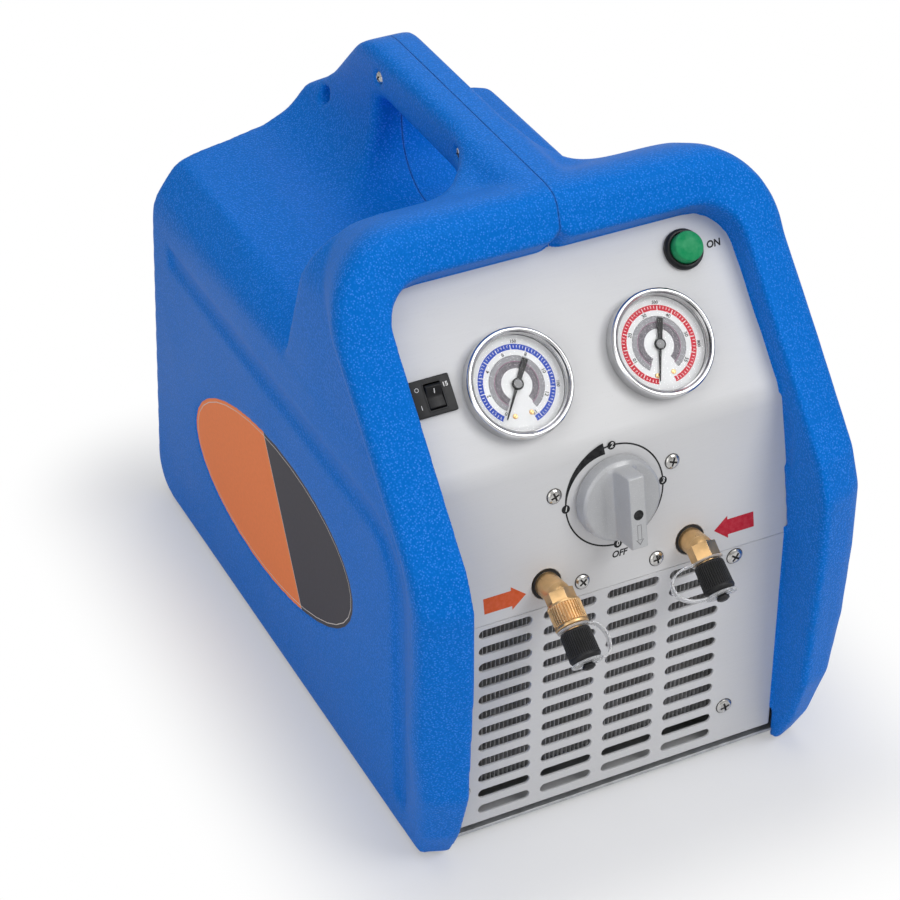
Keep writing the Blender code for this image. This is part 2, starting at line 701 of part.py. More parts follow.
def right_shell(upper):
    shell = body_solid()
    profile = prism("shell_profile", side_profile(), -5 * MM, BODY_HALF_WIDTH + 50 * MM, "X")
    boolean(shell, profile, "INTERSECT")
    boolean(shell, hoop_solid(), "UNION")
    boolean(shell, handle_fillet(), "UNION")
    boolean(shell, handle_window())
    for hollow in shell_cavity(upper) + front_openings(upper):
        boolean(shell, hollow)
    boolean(shell, side_channel())
    boolean(shell, rear_opening())
    for cutter in pocket_cutters():
        boolean(shell, cutter)
    shell.name = "right_shell"
    shell.data.name = "right_shell"
    shell.data.materials.append(blue_plastic())
    return shell


INLAY_Y, INLAY_Z = 28.1 * MM, 108 * MM
INLAY_LENGTH, INLAY_HEIGHT = 236 * MM, 106 * MM
INLAY_TILT = radians(-8.0)
INLAY_DEPTH = 1.6 * MM


def inlay_outline(grow, steps=36):
    """The tilted oval on the side wall, in YZ."""
    a, b = INLAY_LENGTH / 2 + grow, INLAY_HEIGHT / 2 + grow
    points = []
    for i in range(steps):
        t = 2 * pi * i / steps
        y, z = a * cos(t), b * sin(t)
        points.append((INLAY_Y + y * cos(INLAY_TILT) - z * sin(INLAY_TILT),
                       INLAY_Z + y * sin(INLAY_TILT) + z * cos(INLAY_TILT)))
    return points


def left_shell(right):
    """The mirror image of the right half, with the oval recess for the inlay."""
    graph = bpy.context.evaluated_depsgraph_get()
    mesh = bpy.data.meshes.new_from_object(right.evaluated_get(graph))
    work = bmesh.new()
    work.from_mesh(mesh)
    bmesh.ops.transform(work, matrix=Matrix.Scale(-1, 4, (1, 0, 0)), verts=work.verts)
    bmesh.ops.reverse_faces(work, faces=work.faces)
    work.to_mesh(mesh)
    work.free()
    mesh.name = "left_shell"
    made = bpy.data.objects.new("left_shell", mesh)
    bpy.context.collection.objects.link(made)
    recess = prism("shell_inlay_recess", inlay_outline(0.0), -BODY_HALF_WIDTH - 5 * MM,
                   -BODY_HALF_WIDTH + INLAY_DEPTH, "X")
    boolean(made, recess)
    inlay = prism("side_inlay", inlay_outline(-GAP), -BODY_HALF_WIDTH + 0.6 * MM,
                  -BODY_HALF_WIDTH + INLAY_DEPTH - GAP, "X", inlay_orange())
    return made, inlay


# Sheet metal

BREAKER_BODY_WIDTH = BREAKER_WIDTH - 5 * MM
BREAKER_BODY_HEIGHT = BREAKER_HEIGHT - 4 * MM
GAUGE_CASE_RADIUS = GAUGE_RADIUS - 2.0 * MM
BUTTON_BARREL_RADIUS = BUTTON_CAP_RADIUS + 1.2 * MM
KNOB_STEM_RADIUS = 4.8 * MM


def panel_corners(name, upper, half, top, radius):
    """A deep block with the leaning face's two round top corners."""
    block = prism(name, rounded_outline([(-half, -200 * MM), (half, -200 * MM), (half, top), (-half, top)],
                                        [0, 0, radius, radius], 5), -120 * MM, 60 * MM)
    return place(block, upper)


def control_panel(upper, middle):
    """A folded tray: bent front, side and end flanges, and its cut-outs."""
    half = PANEL_HALF_WIDTH
    outer = front_line(0.0) + list(reversed(front_line(-FLANGE)))
    edge_y, edge_z = outer[0]
    outer[-1] = (edge_y + FLANGE, edge_z)
    panel = prism("control_panel", outer, -half, half, "X", panel_silver())
    corners = panel_corners("panel_outer_corners", upper, half, UPPER_LENGTH, PANEL_CORNER)
    boolean(panel, corners, "INTERSECT")
    low, fold, high = (Vector(point) for point in front_line(-SHEET))
    low += (fold - low).normalized() * SHEET
    high += (fold - high).normalized() * SHEET
    back = front_line(-FLANGE - 5 * MM)
    inner = [tuple(low), tuple(fold), tuple(high), back[2], back[1], (edge_y + 2 * FLANGE, low.y)]
    hollow = prism("panel_tray", inner, -half + SHEET, half - SHEET, "X")
    corners = panel_corners("panel_inner_corners", upper, half - SHEET, UPPER_LENGTH - SHEET,
                            PANEL_CORNER - SHEET)
    boolean(hollow, corners, "INTERSECT")
    boolean(panel, hollow)
    holes = [(upper, side * GAUGE_X, GAUGE_UP, GAUGE_CASE_RADIUS + GAP, ROUND) for side in (-1, 1)]
    holes += [(upper, BUTTON_X, BUTTON_UP, BUTTON_BARREL_RADIUS + GAP, ROUND),
              (middle, 0.0, -KNOB_DOWN, KNOB_STEM_RADIUS + 1 * MM, COARSE)]
    holes += [(middle, side * PORT_X, -PORT_DOWN, PORT_STUB_RADIUS + 1.2 * MM, ROUND) for side in (-1, 1)]
    for index, (face, x, y, radius, sides) in enumerate(holes):
        tool = turned("panel_hole_%d" % index, disc_profile(radius, -6 * MM, 6 * MM), sides)
        place(tool, face, (x, y, 0.0))
        boolean(panel, tool)
    tool = prism("panel_breaker_hole",
                 rectangle(BREAKER_BODY_WIDTH + 2 * GAP, BREAKER_BODY_HEIGHT + 2 * GAP), -6 * MM, 6 * MM)
    place(tool, upper, (BREAKER_X, BREAKER_UP, 0.0))
    boolean(panel, tool)
    return panel


def grille_panel():
    """The slotted front panel with flanges folded back on all sides."""
    width, top = 2 * GRILLE_HALF_WIDTH, GRILLE_TOP
    height = top - GRILLE_BOTTOM
    slots = []
    for column in range(SLOT_COLUMNS):
        for row in range(SLOT_ROWS):
            slots.append(slot_outline(SLOT_LENGTH, SLOT_HEIGHT, SLOT_FIRST_X + column * SLOT_PITCH_X,
                                      SLOT_FIRST_Z + row * SLOT_PITCH_Z))
    outline = rectangle(width, height, 0.0, GRILLE_BOTTOM + height / 2)
    panel = perforated("grille_panel", outline, slots, SHEET, panel_silver())
    place(panel, None, (0.0, GRILLE_Y, 0.0), (pi / 2, 0.0, 0.0))
    edge = GRILLE_HALF_WIDTH
    frame = prism("grille_flanges", rectangle(width, height, 0.0, GRILLE_BOTTOM + height / 2),
                  GRILLE_Y + SHEET / 2, GRILLE_Y + FLANGE, "Y")
    hollow = prism("grille_flange_hollow",
                   rectangle(2 * (edge - SHEET), height - 2 * SHEET, 0.0, GRILLE_BOTTOM + height / 2),
                   GRILLE_Y - SHEET, GRILLE_Y + FLANGE + SHEET, "Y")
    boolean(frame, hollow)
    boolean(panel, frame, "UNION")
    return panel


BASE_TOP = SHELL_BOTTOM + 1.0 * MM + BASE_SHEET
BASE_HALF_WIDTH = BODY_HALF_WIDTH - SHELL_WALL - GAP
BASE_FRONT = GRILLE_Y + GAP + SHEET
BASE_REAR = rear_y(SHELL_BOTTOM, SHELL_WALL) - 12 * MM


def base_plate():
    """A flat pan with its side edges turned up inside the shells."""
    low, lip = BASE_TOP - BASE_SHEET, 14 * MM
    outline = [(-BASE_HALF_WIDTH, low), (BASE_HALF_WIDTH, low), (BASE_HALF_WIDTH, low + lip),
               (BASE_HALF_WIDTH - BASE_SHEET, low + lip), (BASE_HALF_WIDTH - BASE_SHEET, BASE_TOP),
               (-BASE_HALF_WIDTH + BASE_SHEET, BASE_TOP), (-BASE_HALF_WIDTH + BASE_SHEET, low + lip),
               (-BASE_HALF_WIDTH, low + lip)]
    return prism("base_plate", outline, BASE_FRONT, BASE_REAR, "Y", plain_steel())


def rubber_feet():
    """Four round feet under the base plate, proud of the shells."""
    low = BASE_TOP - BASE_SHEET - GAP
    profile = [(0.0, 0.0), (FOOT_RADIUS - 1.5 * MM, 0.0), (FOOT_RADIUS, 1.5 * MM), (FOOT_RADIUS, low),
               (0.0, low)]
    for end, y in (("front", BASE_FRONT + 26 * MM), ("rear", BASE_REAR - 30 * MM)):
        for side, x in (("left", -FOOT_X), ("right", FOOT_X)):
            place(turned("foot_%s_%s" % (end, side), profile, COARSE, black_rubber()), None, (x, y, 0.0))


def rear_panel():
    """The vented rear plate that closes the shells from inside."""
    half, low, high = REAR_PANEL_HALF_WIDTH, REAR_PANEL_BOTTOM, REAR_PANEL_TOP
    middle = (low + high) / 2
    holes = []
    for row in range(9):
        z = 96 * MM + row * 11.5 * MM - middle
        for column in (-1, 0, 1):
            holes.append(slot_outline(40 * MM, 5.4 * MM, column * 47 * MM, z))
    holes.append(rounded_outline(rectangle(INLET_WIDTH + 2 * GAP, INLET_HEIGHT + 2 * GAP, INLET_X,
                                           INLET_Z - middle), 0))
    panel = perforated("rear_panel", rounded_outline(rectangle(2 * half, high - low), 6 * MM, 2),
                       holes, SHEET, panel_silver())
    return panel, middle


INLET_X = -50 * MM
INLET_Z = 55 * MM
INLET_WIDTH = 28 * MM
INLET_HEIGHT = 20 * MM
INLET_DEPTH = 24 * MM


def rear_group():
    """Rear panel and mains inlet stand parallel to the leaning rear wall."""
    panel, middle = rear_panel()
    seat = rear_y(middle, SHELL_WALL + GAP)
    stand = empty("rear_face", (0.0, seat, middle), (pi / 2 - REAR_LEAN, 0.0, pi))
    place(panel, stand)
    work = bmesh.new()
    x, z = INLET_X, INLET_Z - middle
    rim = 3.0 * MM
    add_prism(work, rounded_outline(rectangle(INLET_WIDTH + 8 * MM, INLET_HEIGHT + 8 * MM, x, z), 4 * MM, 2),
              GAP, GAP + rim)
    inlet = finish("ac_inlet", work, black_plastic())
    place(inlet, stand)
    barrel = box("inlet_barrel", (x - INLET_WIDTH / 2, z - INLET_HEIGHT / 2, -INLET_DEPTH),
                 (x + INLET_WIDTH / 2, z + INLET_HEIGHT / 2, GAP + rim / 2))
    place(barrel, stand)
    boolean(inlet, barrel, "UNION")
    mouth = prism("inlet_mouth", rounded_outline(rectangle(24 * MM, 16.4 * MM, x, z),
                                                 [5 * MM, 5 * MM, 1 * MM, 1 * MM], 2),
                  -17 * MM, 10 * MM)
    place(mouth, stand)
    boolean(inlet, mouth)
    places = (("live", -7 * MM, -1.6 * MM), ("neutral", 7 * MM, -1.6 * MM), ("earth", 0.0, 2.4 * MM))
    for name, dx, dz in places:
        pin = box("inlet_pin_" + name, (x + dx - 1 * MM, z + dz - 2 * MM, -17 * MM + GAP),
                  (x + dx + 1 * MM, z + dz + 2 * MM, -1 * MM), bright_steel())
        place(pin, stand)


# Gauges

POINTER_LENGTH = 20.2 * MM
DIAL_HEIGHT = 2.2 * MM
LOW_NEEDLE = radians(145.0)
HIGH_NEEDLE = radians(161.0)


def gauge(prefix, upper, x, needle):
    """Case, bezel, lens, dial and pointer, turned about the gauge's own axis."""
    spot = (x, GAUGE_UP, 0.0)
    outer, inner = GAUGE_CASE_RADIUS, GAUGE_CASE_RADIUS - 1.0 * MM
    rim = GAUGE_RIM
    back = -GAUGE_DEPTH
    stem = 5.0 * MM
    case = turned(prefix + "_gauge_case",
                  [(0.0, back - 12 * MM), (stem, back - 12 * MM), (stem, back), (outer - 2 * MM, back),
                   (outer, back + 2 * MM), (outer, rim), (inner, rim), (inner, back + 1.2 * MM),
                   (0.0, back + 1.2 * MM)], ROUND, black_plastic())
    place(case, upper, spot)
    glass_low, glass_high = rim + GAP, rim + GAP + 1.5 * MM
    lip = glass_high + GAP
    bezel = turned(prefix + "_gauge_bezel",
                   [(outer + GAP, GAP), (GAUGE_RADIUS, GAP), (GAUGE_RADIUS, GAUGE_PROUD - 1.5 * MM),
                    (GAUGE_RADIUS - 1.2 * MM, GAUGE_PROUD), (GAUGE_RADIUS - 2.6 * MM, GAUGE_PROUD),
                    (inner - 1 * MM, lip), (outer + GAP, lip)], ROUND, bright_steel())
    place(bezel, upper, spot)
    lens = turned(prefix + "_gauge_lens", disc_profile(outer - GAP, glass_low, glass_high), ROUND,
                  clear_plastic())
    place(lens, upper, spot)
    spindle = 1.0 * MM
    dial = turned(prefix + "_gauge_dial",
                  ring_profile(spindle + GAP, inner - GAP, DIAL_HEIGHT - 0.8 * MM, DIAL_HEIGHT), ROUND,
                  dial_white())
    place(dial, upper, spot)
    work = bmesh.new()
    low, high = DIAL_HEIGHT + 1.2 * MM, DIAL_HEIGHT + 2.0 * MM
    outline = [(-0.5 * MM, POINTER_LENGTH), (-1.1 * MM, 0.0), (-1.3 * MM, -3 * MM), (-1.6 * MM, -14.4 * MM),
               (1.6 * MM, -14.4 * MM), (1.3 * MM, -3 * MM), (1.1 * MM, 0.0), (0.5 * MM, POINTER_LENGTH)]
    add_prism(work, outline, low, high)
    pointer = finish(prefix + "_gauge_pointer", work, black_plastic())
    place(pointer, upper, spot, (0.0, 0.0, needle))
    hub = turned(prefix + "_pointer_hub",
                 [(0.0, back + 1.2 * MM + GAP), (spindle, back + 1.2 * MM + GAP), (spindle, low),
                  (3.2 * MM, low - 0.1 * MM), (3.2 * MM, high + 0.4 * MM), (0.0, high + 0.4 * MM)],
                 COARSE)
    place(hub, upper, spot)
    boolean(pointer, hub, "UNION")


# Button, breaker, knob

def start_button(upper):
    spot = (BUTTON_X, BUTTON_UP, 0.0)
    barrel, cap = BUTTON_BARREL_RADIUS, BUTTON_CAP_RADIUS
    flange = barrel + 1.7 * MM
    bottom = -18 * MM
    housing = turned("start_button_housing",
                     [(0.0, bottom), (barrel, bottom), (barrel, GAP), (flange, GAP), (flange, 2.2 * MM),
                      (flange - 1 * MM, 4.2 * MM), (cap + GAP, 4.2 * MM), (cap + GAP, -7 * MM),
                      (0.0, -7 * MM)], ROUND, black_plastic())
    place(housing, upper, spot)
    low = -7 * MM + BUTTON_TRAVEL + GAP
    button = turned("start_button",
                    [(0.0, low), (cap, low), (cap, 8.6 * MM), (cap - 0.5 * MM, 10.0 * MM),
                     (cap - 1.6 * MM, 10.8 * MM), (0.0, 11.0 * MM)], ROUND, green_plastic())
    place(button, upper, spot)


ROCKER_TILT = radians(10.0)
ROCKER_RADIUS = 6.6 * MM


def breaker(upper):
    spot = (BREAKER_X, BREAKER_UP, 0.0)
    work = bmesh.new()
    add_prism(work, rectangle(BREAKER_WIDTH, BREAKER_HEIGHT), GAP, 2.0 * MM)
    body = finish("breaker_body", work, black_plastic())
    place(body, upper, spot)
    block = prism("breaker_block", rectangle(BREAKER_BODY_WIDTH, BREAKER_BODY_HEIGHT), -28 * MM, 1 * MM)
    place(block, upper, spot)
    boolean(body, block, "UNION")
    well = prism("breaker_well", rectangle(9.6 * MM, 14.2 * MM, 1.0 * MM, 0.0), -8 * MM, 5 * MM)
    place(well, upper, spot)
    boolean(body, well)
    reach = ROCKER_RADIUS
    keel = 4.5 * MM
    outline = [(-reach, 1.0 * MM), (-reach + 1.2 * MM, -2.4 * MM), (-1.5 * MM, -keel), (1.5 * MM, -keel),
               (reach - 1.2 * MM, -2.4 * MM), (reach, 1.0 * MM), (reach - 1 * MM, 3.2 * MM),
               (0.0, 1.4 * MM), (-reach + 1 * MM, 3.2 * MM)]
    rocker = prism("breaker_rocker", outline, -4.5 * MM, 4.5 * MM, "X", black_plastic())
    place(rocker, upper, (BREAKER_X + 1.0 * MM, BREAKER_UP, 0.0), (ROCKER_TILT, 0.0, 0.0))


VALVE_BACK = -52 * MM
MANIFOLD_BACK = -27 * MM
VALVE_FRONT = -SHEET - GAP
STEM_DEPTH = 18 * MM


def selector(middle):
    """The knob on its stem, and the valve block behind the panel."""
    spot = (0.0, -KNOB_DOWN, 0.0)
    radius, top = KNOB_RADIUS, KNOB_HEIGHT
    skirt = 10 * MM
    knob = turned("selector_knob",
                  [(0.0, -STEM_DEPTH), (KNOB_STEM_RADIUS, -STEM_DEPTH), (KNOB_STEM_RADIUS, 0.8 * MM),
                   (radius - 1 * MM, 0.8 * MM), (radius, 2.0 * MM), (radius - 1.0 * MM, skirt - 1.5 * MM),
                   (radius - 3.0 * MM, skirt), (0.0, skirt)], ROUND, knob_grey())
    place(knob, middle, spot)
    half = KNOB_BAR_WIDTH / 2
    flank = half + 4.5 * MM
    long_top = radius - 2.5 * MM
    work = bmesh.new()
    rings = []
    for z, a, b in ((skirt - 3 * MM, flank, radius - 4 * MM), (top - 1.2 * MM, half + 0.4 * MM, long_top),
                    (top, half - 0.6 * MM, long_top - 1 * MM)):
        rings.append([work.verts.new((x, y, z)) for x, y in rectangle(2 * a, 2 * b)])
    bridge_rings(work, rings, cap=True)
    bar = finish("knob_bar", work, None)
    place(bar, middle, spot)
    boolean(knob, bar, "UNION")
    mark = turned("knob_mark", disc_profile(2.7 * MM, top - 1.0 * MM, top + 2 * MM), COARSE)
    place(mark, middle, (0.0, -KNOB_DOWN - 5.5 * MM, 0.0))
    boolean(knob, mark)

    low, high = -PORT_DOWN - 9 * MM, -8 * MM
    block = box("selector_valve_body", (-26 * MM, low + 14 * MM, VALVE_BACK), (26 * MM, high, VALVE_FRONT),
                cast_aluminium())
    place(block, middle)
    bar = box("valve_manifold", (-PORT_X - 12 * MM, low, MANIFOLD_BACK),
              (PORT_X + 12 * MM, low + 20 * MM, VALVE_FRONT))
    place(bar, middle)
    boolean(block, bar, "UNION")
    bore = turned("valve_stem_bore", disc_profile(KNOB_STEM_RADIUS + GAP, -STEM_DEPTH - 1 * MM, 5 * MM),
                  COARSE)
    place(bore, middle, spot)
    boolean(block, bore)
    for index, side in enumerate((-1, 1)):
        seat = turned("valve_port_bore_%d" % index,
                      disc_profile(PORT_STUB_RADIUS + GAP, -PORT_INSERT - GAP, 5 * MM), ROUND)
        place(seat, middle, (side * PORT_X, -PORT_DOWN, 0.0))
        boolean(block, seat)


# Ports

PORT_INSERT = 12 * MM
IN_STUB = 15.0 * MM
OUT_STUB = 13.0 * MM
IN_SHOULDER = 4.0 * MM
OUT_SHOULDER = 6.5 * MM
NECK_LENGTH = 2.2 * MM


def port_axis(middle, name, x, stub):
    """An empty at the elbow's corner whose Z runs out along the turned-down leg."""
    return empty(name, (x, -PORT_DOWN, stub), (ELBOW, 0.0, 0.0), middle)


def port_fitting(name, middle, x, stub, shoulder, flare_end, neck_to):
    """Brass elbow: stub through the panel, 45 degree bend, neck and flare end."""
    centres = [(0.0, -PORT_INSERT), (0.0, stub)]
    leg = Vector((-sin(ELBOW), cos(ELBOW)))
    corner = Vector((0.0, stub))
    radii = [PORT_STUB_RADIUS, PORT_STUB_RADIUS]
    for along, radius in ((shoulder, PORT_STUB_RADIUS + 0.4 * MM), (shoulder, PORT_NECK_RADIUS),
                          (neck_to, PORT_NECK_RADIUS), (neck_to, FLARE_RADIUS),
                          (flare_end - 1.5 * MM, FLARE_RADIUS),
                          (flare_end, FLARE_RADIUS - 1.6 * MM)):
        centres.append(tuple(corner + leg * along))
        radii.append(radius)
    work = bmesh.new()
    rings = []
    for index, ((y, z), radius) in enumerate(zip(centres, radii)):
        tilt = 0.0 if index == 0 else (ELBOW / 2 if index == 1 else ELBOW)
        stretch = 1.0 / cos(ELBOW / 2) if index == 1 else 1.0
        ring = []
        for step in range(16):
            angle = 2 * pi * (step + 0.5) / 16
            u, v = radius * cos(angle), radius * sin(angle) * stretch
            ring.append(work.verts.new((u, y + v * cos(tilt), z + v * sin(tilt))))
        rings.append(ring)
    bridge_rings(work, rings, cap=True)
    return place(finish(name, work, yellow_brass()), middle, (x, -PORT_DOWN, 0.0))


def knurled_ring(name, inner, outer, low, high, teeth, paint):
    """A ring whose outside is cut into straight grips."""
    work = bmesh.new()
    rings = []
    for z, shrink in ((low, 1.0 * MM), (low + 1.2 * MM, 0.0), (high - 1.2 * MM, 0.0), (high, 1.0 * MM)):
        ring = []
        for step in range(2 * teeth):
            radius = outer - shrink - (0.5 * MM if step % 2 else 0.0)
            angle = pi * step / teeth
            ring.append(work.verts.new((radius * cos(angle), radius * sin(angle), z)))
        rings.append(ring)
    bridge_rings(work, rings, cap=True)
    made = finish(name, work, paint)
    bore = turned(name + "_bore", disc_profile(inner, low - 5 * MM, high + 5 * MM), COARSE)
    boolean(made, bore)
    return made, bore


def flare_cap(prefix, axis, start):
    """Black cap over the flare, with its clear retaining strap."""
    end = start + CAP_LENGTH
    tail = 4.6 * MM
    work = bmesh.new()
    rings = []
    teeth = 12
    for z, radius in ((start, CAP_RADIUS - 0.8 * MM), (start + 1 * MM, CAP_RADIUS),
                      (end - 2.5 * MM, CAP_RADIUS), (end, CAP_RADIUS - 2.4 * MM)):
        ring = []
        for step in range(2 * teeth):
            here = radius - (0.45 * MM if step % 2 else 0.0)
            angle = pi * step / teeth
            ring.append(work.verts.new((here * cos(angle), here * sin(angle), z)))
        rings.append(ring)
    bridge_rings(work, rings, cap=True)
    cap = finish(prefix + "_port_cap", work, black_plastic())
    place(cap, axis)
    bore = turned(prefix + "_cap_bore", disc_profile(FLARE_RADIUS + GAP, start - 3 * MM, end - 3 * MM),
                  COARSE)
    place(bore, axis)
    boolean(cap, bore)
    button = turned(prefix + "_cap_tail",
                    [(0.0, end - 1 * MM), (2.4 * MM, end - 1 * MM), (2.4 * MM, end + tail - 1.8 * MM),
                     (4.2 * MM, end + tail - 1.8 * MM), (3.6 * MM, end + tail), (0.0, end + tail)], COARSE)
    place(button, axis)
    boolean(cap, button, "UNION")
    return end


def cap_strap(prefix, axis, neck, end, reach):
    """Clear strap: an eye round the neck, a bowed band, an eye round the cap's tail."""
    thick, half_width = 1.1 * MM, 2.0 * MM
    start, finish_z = neck + GAP, end + GAP
    outer = CAP_RADIUS + 1.2 * MM
    profile = []
    steps = 10
    for grow in (0.0, -thick):
        row = []
        for step in range(steps + 1):
            angle = pi / 2 - pi * step / steps
            mid = (start + finish_z + thick) / 2
            rise = (finish_z + thick - start) / 2 + grow
            row.append((outer + (reach - outer + grow) * cos(angle), mid - rise * sin(angle)))
        profile.append(row)
    outline = profile[0] + list(reversed(profile[1]))
    turn = Matrix(((1, 0, 0, 0), (0, 0, 1, 0), (0, 1, 0, 0), (0, 0, 0, 1)))
    work = bmesh.new()
    add_prism(work, [(x * (1 if prefix == "in" else -1), z) for x, z in outline], -half_width, half_width)
    bmesh.ops.transform(work, matrix=turn, verts=work.verts)
    strap = finish(prefix + "_cap_strap", work, clear_plastic())
    place(strap, axis)
    for label, inner, low in (("neck", PORT_NECK_RADIUS + GAP, start), ("tail", 2.4 * MM + GAP, finish_z)):
        eye = turned("%s_strap_%s" % (prefix, label),
                     ring_profile(inner, outer + 0.6 * MM, low, low + thick),
                     COARSE)
        place(eye, axis)
        boolean(strap, eye, "UNION")


def ports(middle):
    axis = port_axis(middle, "in_port_axis", -PORT_X, IN_STUB)
    nut_low = IN_SHOULDER + GAP
    nut_high = nut_low + NUT_LENGTH
    cap_low = nut_high + NECK_LENGTH
    flare_end = cap_low + CAP_LENGTH - 3.4 * MM
    port_fitting("in_port_fitting", middle, -PORT_X, IN_STUB, IN_SHOULDER, flare_end, cap_low)
    nut, bore = knurled_ring("in_filter_nut", PORT_NECK_RADIUS + GAP, NUT_RADIUS, nut_low, nut_high, 18,
                             yellow_brass())
    place(nut, axis)
    place(bore, axis)
    end = flare_cap("in", axis, cap_low)
    cap_strap("in", axis, nut_high, end, 17 * MM)
    axis = port_axis(middle, "out_port_axis", PORT_X, OUT_STUB)
    cap_low = OUT_SHOULDER + NECK_LENGTH
    flare_end = cap_low + CAP_LENGTH - 3.4 * MM
    port_fitting("out_port_fitting", middle, PORT_X, OUT_STUB, OUT_SHOULDER, flare_end, cap_low)
    end = flare_cap("out", axis, cap_low)
    cap_strap("out", axis, OUT_SHOULDER, end, 26 * MM)


# Cooling and compressor

COIL_FRONT = GRILLE_Y + FLANGE + 1.5 * MM
SHROUD_Y = COIL_FRONT + COIL_DEPTH + 2 * GAP
SHROUD_SHEET = 2 * MM
SHROUD_DEPTH = 16 * MM
FAN_Y = SHROUD_Y + 15 * MM
MOTOR_FRONT = FAN_Y + 20 * MM
CRANK_FRONT = MOTOR_FRONT + MOTOR_LENGTH + GAP
CRANK_LENGTH = 82 * MM
CRADLE_TOP = 34 * MM
ISOLATOR_HEIGHT = 8 * MM
CYLINDER_REACH = 84 * MM
CYLINDER_FIN = 6 * MM
CYLINDER_FINS = 4
CYLINDER_FIN_PITCH = 9 * MM
HEAD_THICKNESS = 16 * MM


def condenser():
    """Fin pack as a comb, with end plates, return bends and two stubs."""
    back, front = COIL_FRONT + COIL_DEPTH, COIL_FRONT
    pitch = 2 * COIL_HALF_WIDTH / FIN_COUNT
    fin = pitch * 0.4
    web = COIL_DEPTH * 0.45
    outline = []
    for index in range(FIN_COUNT):
        x = -COIL_HALF_WIDTH + index * pitch
        outline += [(x, back - web), (x, front), (x + fin, front), (x + fin, back - web)]
    outline += [(COIL_HALF_WIDTH, back - web), (COIL_HALF_WIDTH, back), (-COIL_HALF_WIDTH, back)]
    prism("condenser_fins", outline, COIL_BOTTOM, COIL_BOTTOM + COIL_HEIGHT, "Z", plain_steel())
    for side, name in ((-1, "left"), (1, "right")):
        near, far = sorted((side * (COIL_HALF_WIDTH + GAP), side * (COIL_HALF_WIDTH + GAP + COIL_PLATE)))
        plate = box("condenser_end_" + name, (near, front, BASE_TOP + GAP),
                    (far, back, COIL_BOTTOM + COIL_HEIGHT),
                    plain_steel())
        seat = side * (COIL_HALF_WIDTH + GAP + COIL_PLATE / 2)
        for index in range(COIL_BENDS):
            z = COIL_BOTTOM + 8 * MM + index * 22 * MM + (0 if side > 0 else 11 * MM)
            bend = return_bend("coil_bend_%s_%d" % (name, index), seat, side, (front + back) / 2, z)
            boolean(plate, bend, "UNION")


def return_bend(name, seat, side, y, z):
    """A half-circle copper bend between two tube rows."""
    tube_radius, bend = 4.0 * MM, 5.5 * MM
    work = bmesh.new()
    rings = []
    for step in range(6):
        angle = -pi / 2 + pi * step / 5
        centre = Vector((seat + side * bend * cos(angle), y, z + bend + bend * sin(angle)))
        out = Vector((side * cos(angle), 0.0, sin(angle)))
        ring = []
        for turn in range(6):
            t = 2 * pi * turn / 6
            ring.append(work.verts.new(centre + (out * cos(t) + Vector((0, 1, 0)) * sin(t)) * tube_radius))
        rings.append(ring)
    bridge_rings(work, rings, cap=True)
    return finish(name, work, None)


BLADE_SECTIONS = [(13 * MM, 20 * MM, 38), (36 * MM, 34 * MM, 28), (FAN_RADIUS, 42 * MM, 20)]
BLADE_CAMBER = [(-0.5, -0.6 * MM), (0.0, -1.6 * MM), (0.5, -0.6 * MM), (0.5, 0.6 * MM),
                (0.0, -0.2 * MM), (-0.5, 0.6 * MM)]


def fan():
    """Shroud plate with a round throat, and a five-bladed fan on the motor's shaft."""
    half = COIL_HALF_WIDTH + 3 * MM
    low, high = BASE_TOP + GAP, COIL_BOTTOM + COIL_HEIGHT
    throat = FAN_RADIUS + 3 * MM
    turn = Matrix.Translation((0.0, SHROUD_Y, SHAFT_Z)) @ Matrix.Rotation(-pi / 2, 4, "X")
    shroud = box("fan_shroud", (-half, SHROUD_Y, low), (half, SHROUD_Y + SHROUD_SHEET, high),
                 black_plastic())
    rim = turned("shroud_rim", disc_profile(throat + 2 * MM, 0.0, SHROUD_DEPTH), ROUND, None, turn)
    boolean(shroud, rim, "UNION")
    hole = turned("shroud_throat", disc_profile(throat, -5 * MM, SHROUD_DEPTH + 5 * MM), ROUND, None, turn)
    boolean(shroud, hole)

    blade = turned("fan_blade",
                   [(0.0, -8 * MM), (14 * MM, -8 * MM), (16 * MM, -6 * MM), (16 * MM, 8 * MM),
                    (SHAFT_RADIUS + GAP, 8 * MM), (SHAFT_RADIUS + GAP, -5 * MM), (0.0, -5 * MM)], ROUND,
                   black_plastic())
    place(blade, None, (0.0, FAN_Y, SHAFT_Z), (-pi / 2, 0.0, 0.0))
    work = bmesh.new()
    for index in range(5):
        turn = 2 * pi * index / 5
        rings = []
        for radius, chord, pitch_angle in BLADE_SECTIONS:
            ring = []
            for a, b in BLADE_CAMBER:
                along = a * chord
                tilt = radians(pitch_angle)
                angle = turn + along * cos(tilt) / radius
                height = along * sin(tilt) + b
                ring.append(work.verts.new((radius * cos(angle), radius * sin(angle), height)))
            rings.append(ring)
        bridge_rings(work, rings, cap=True)
    wings = finish("fan_wings", work, None)
    place(wings, None, (0.0, FAN_Y, SHAFT_Z), (-pi / 2, 0.0, 0.0))
    boolean(blade, wings, "UNION")


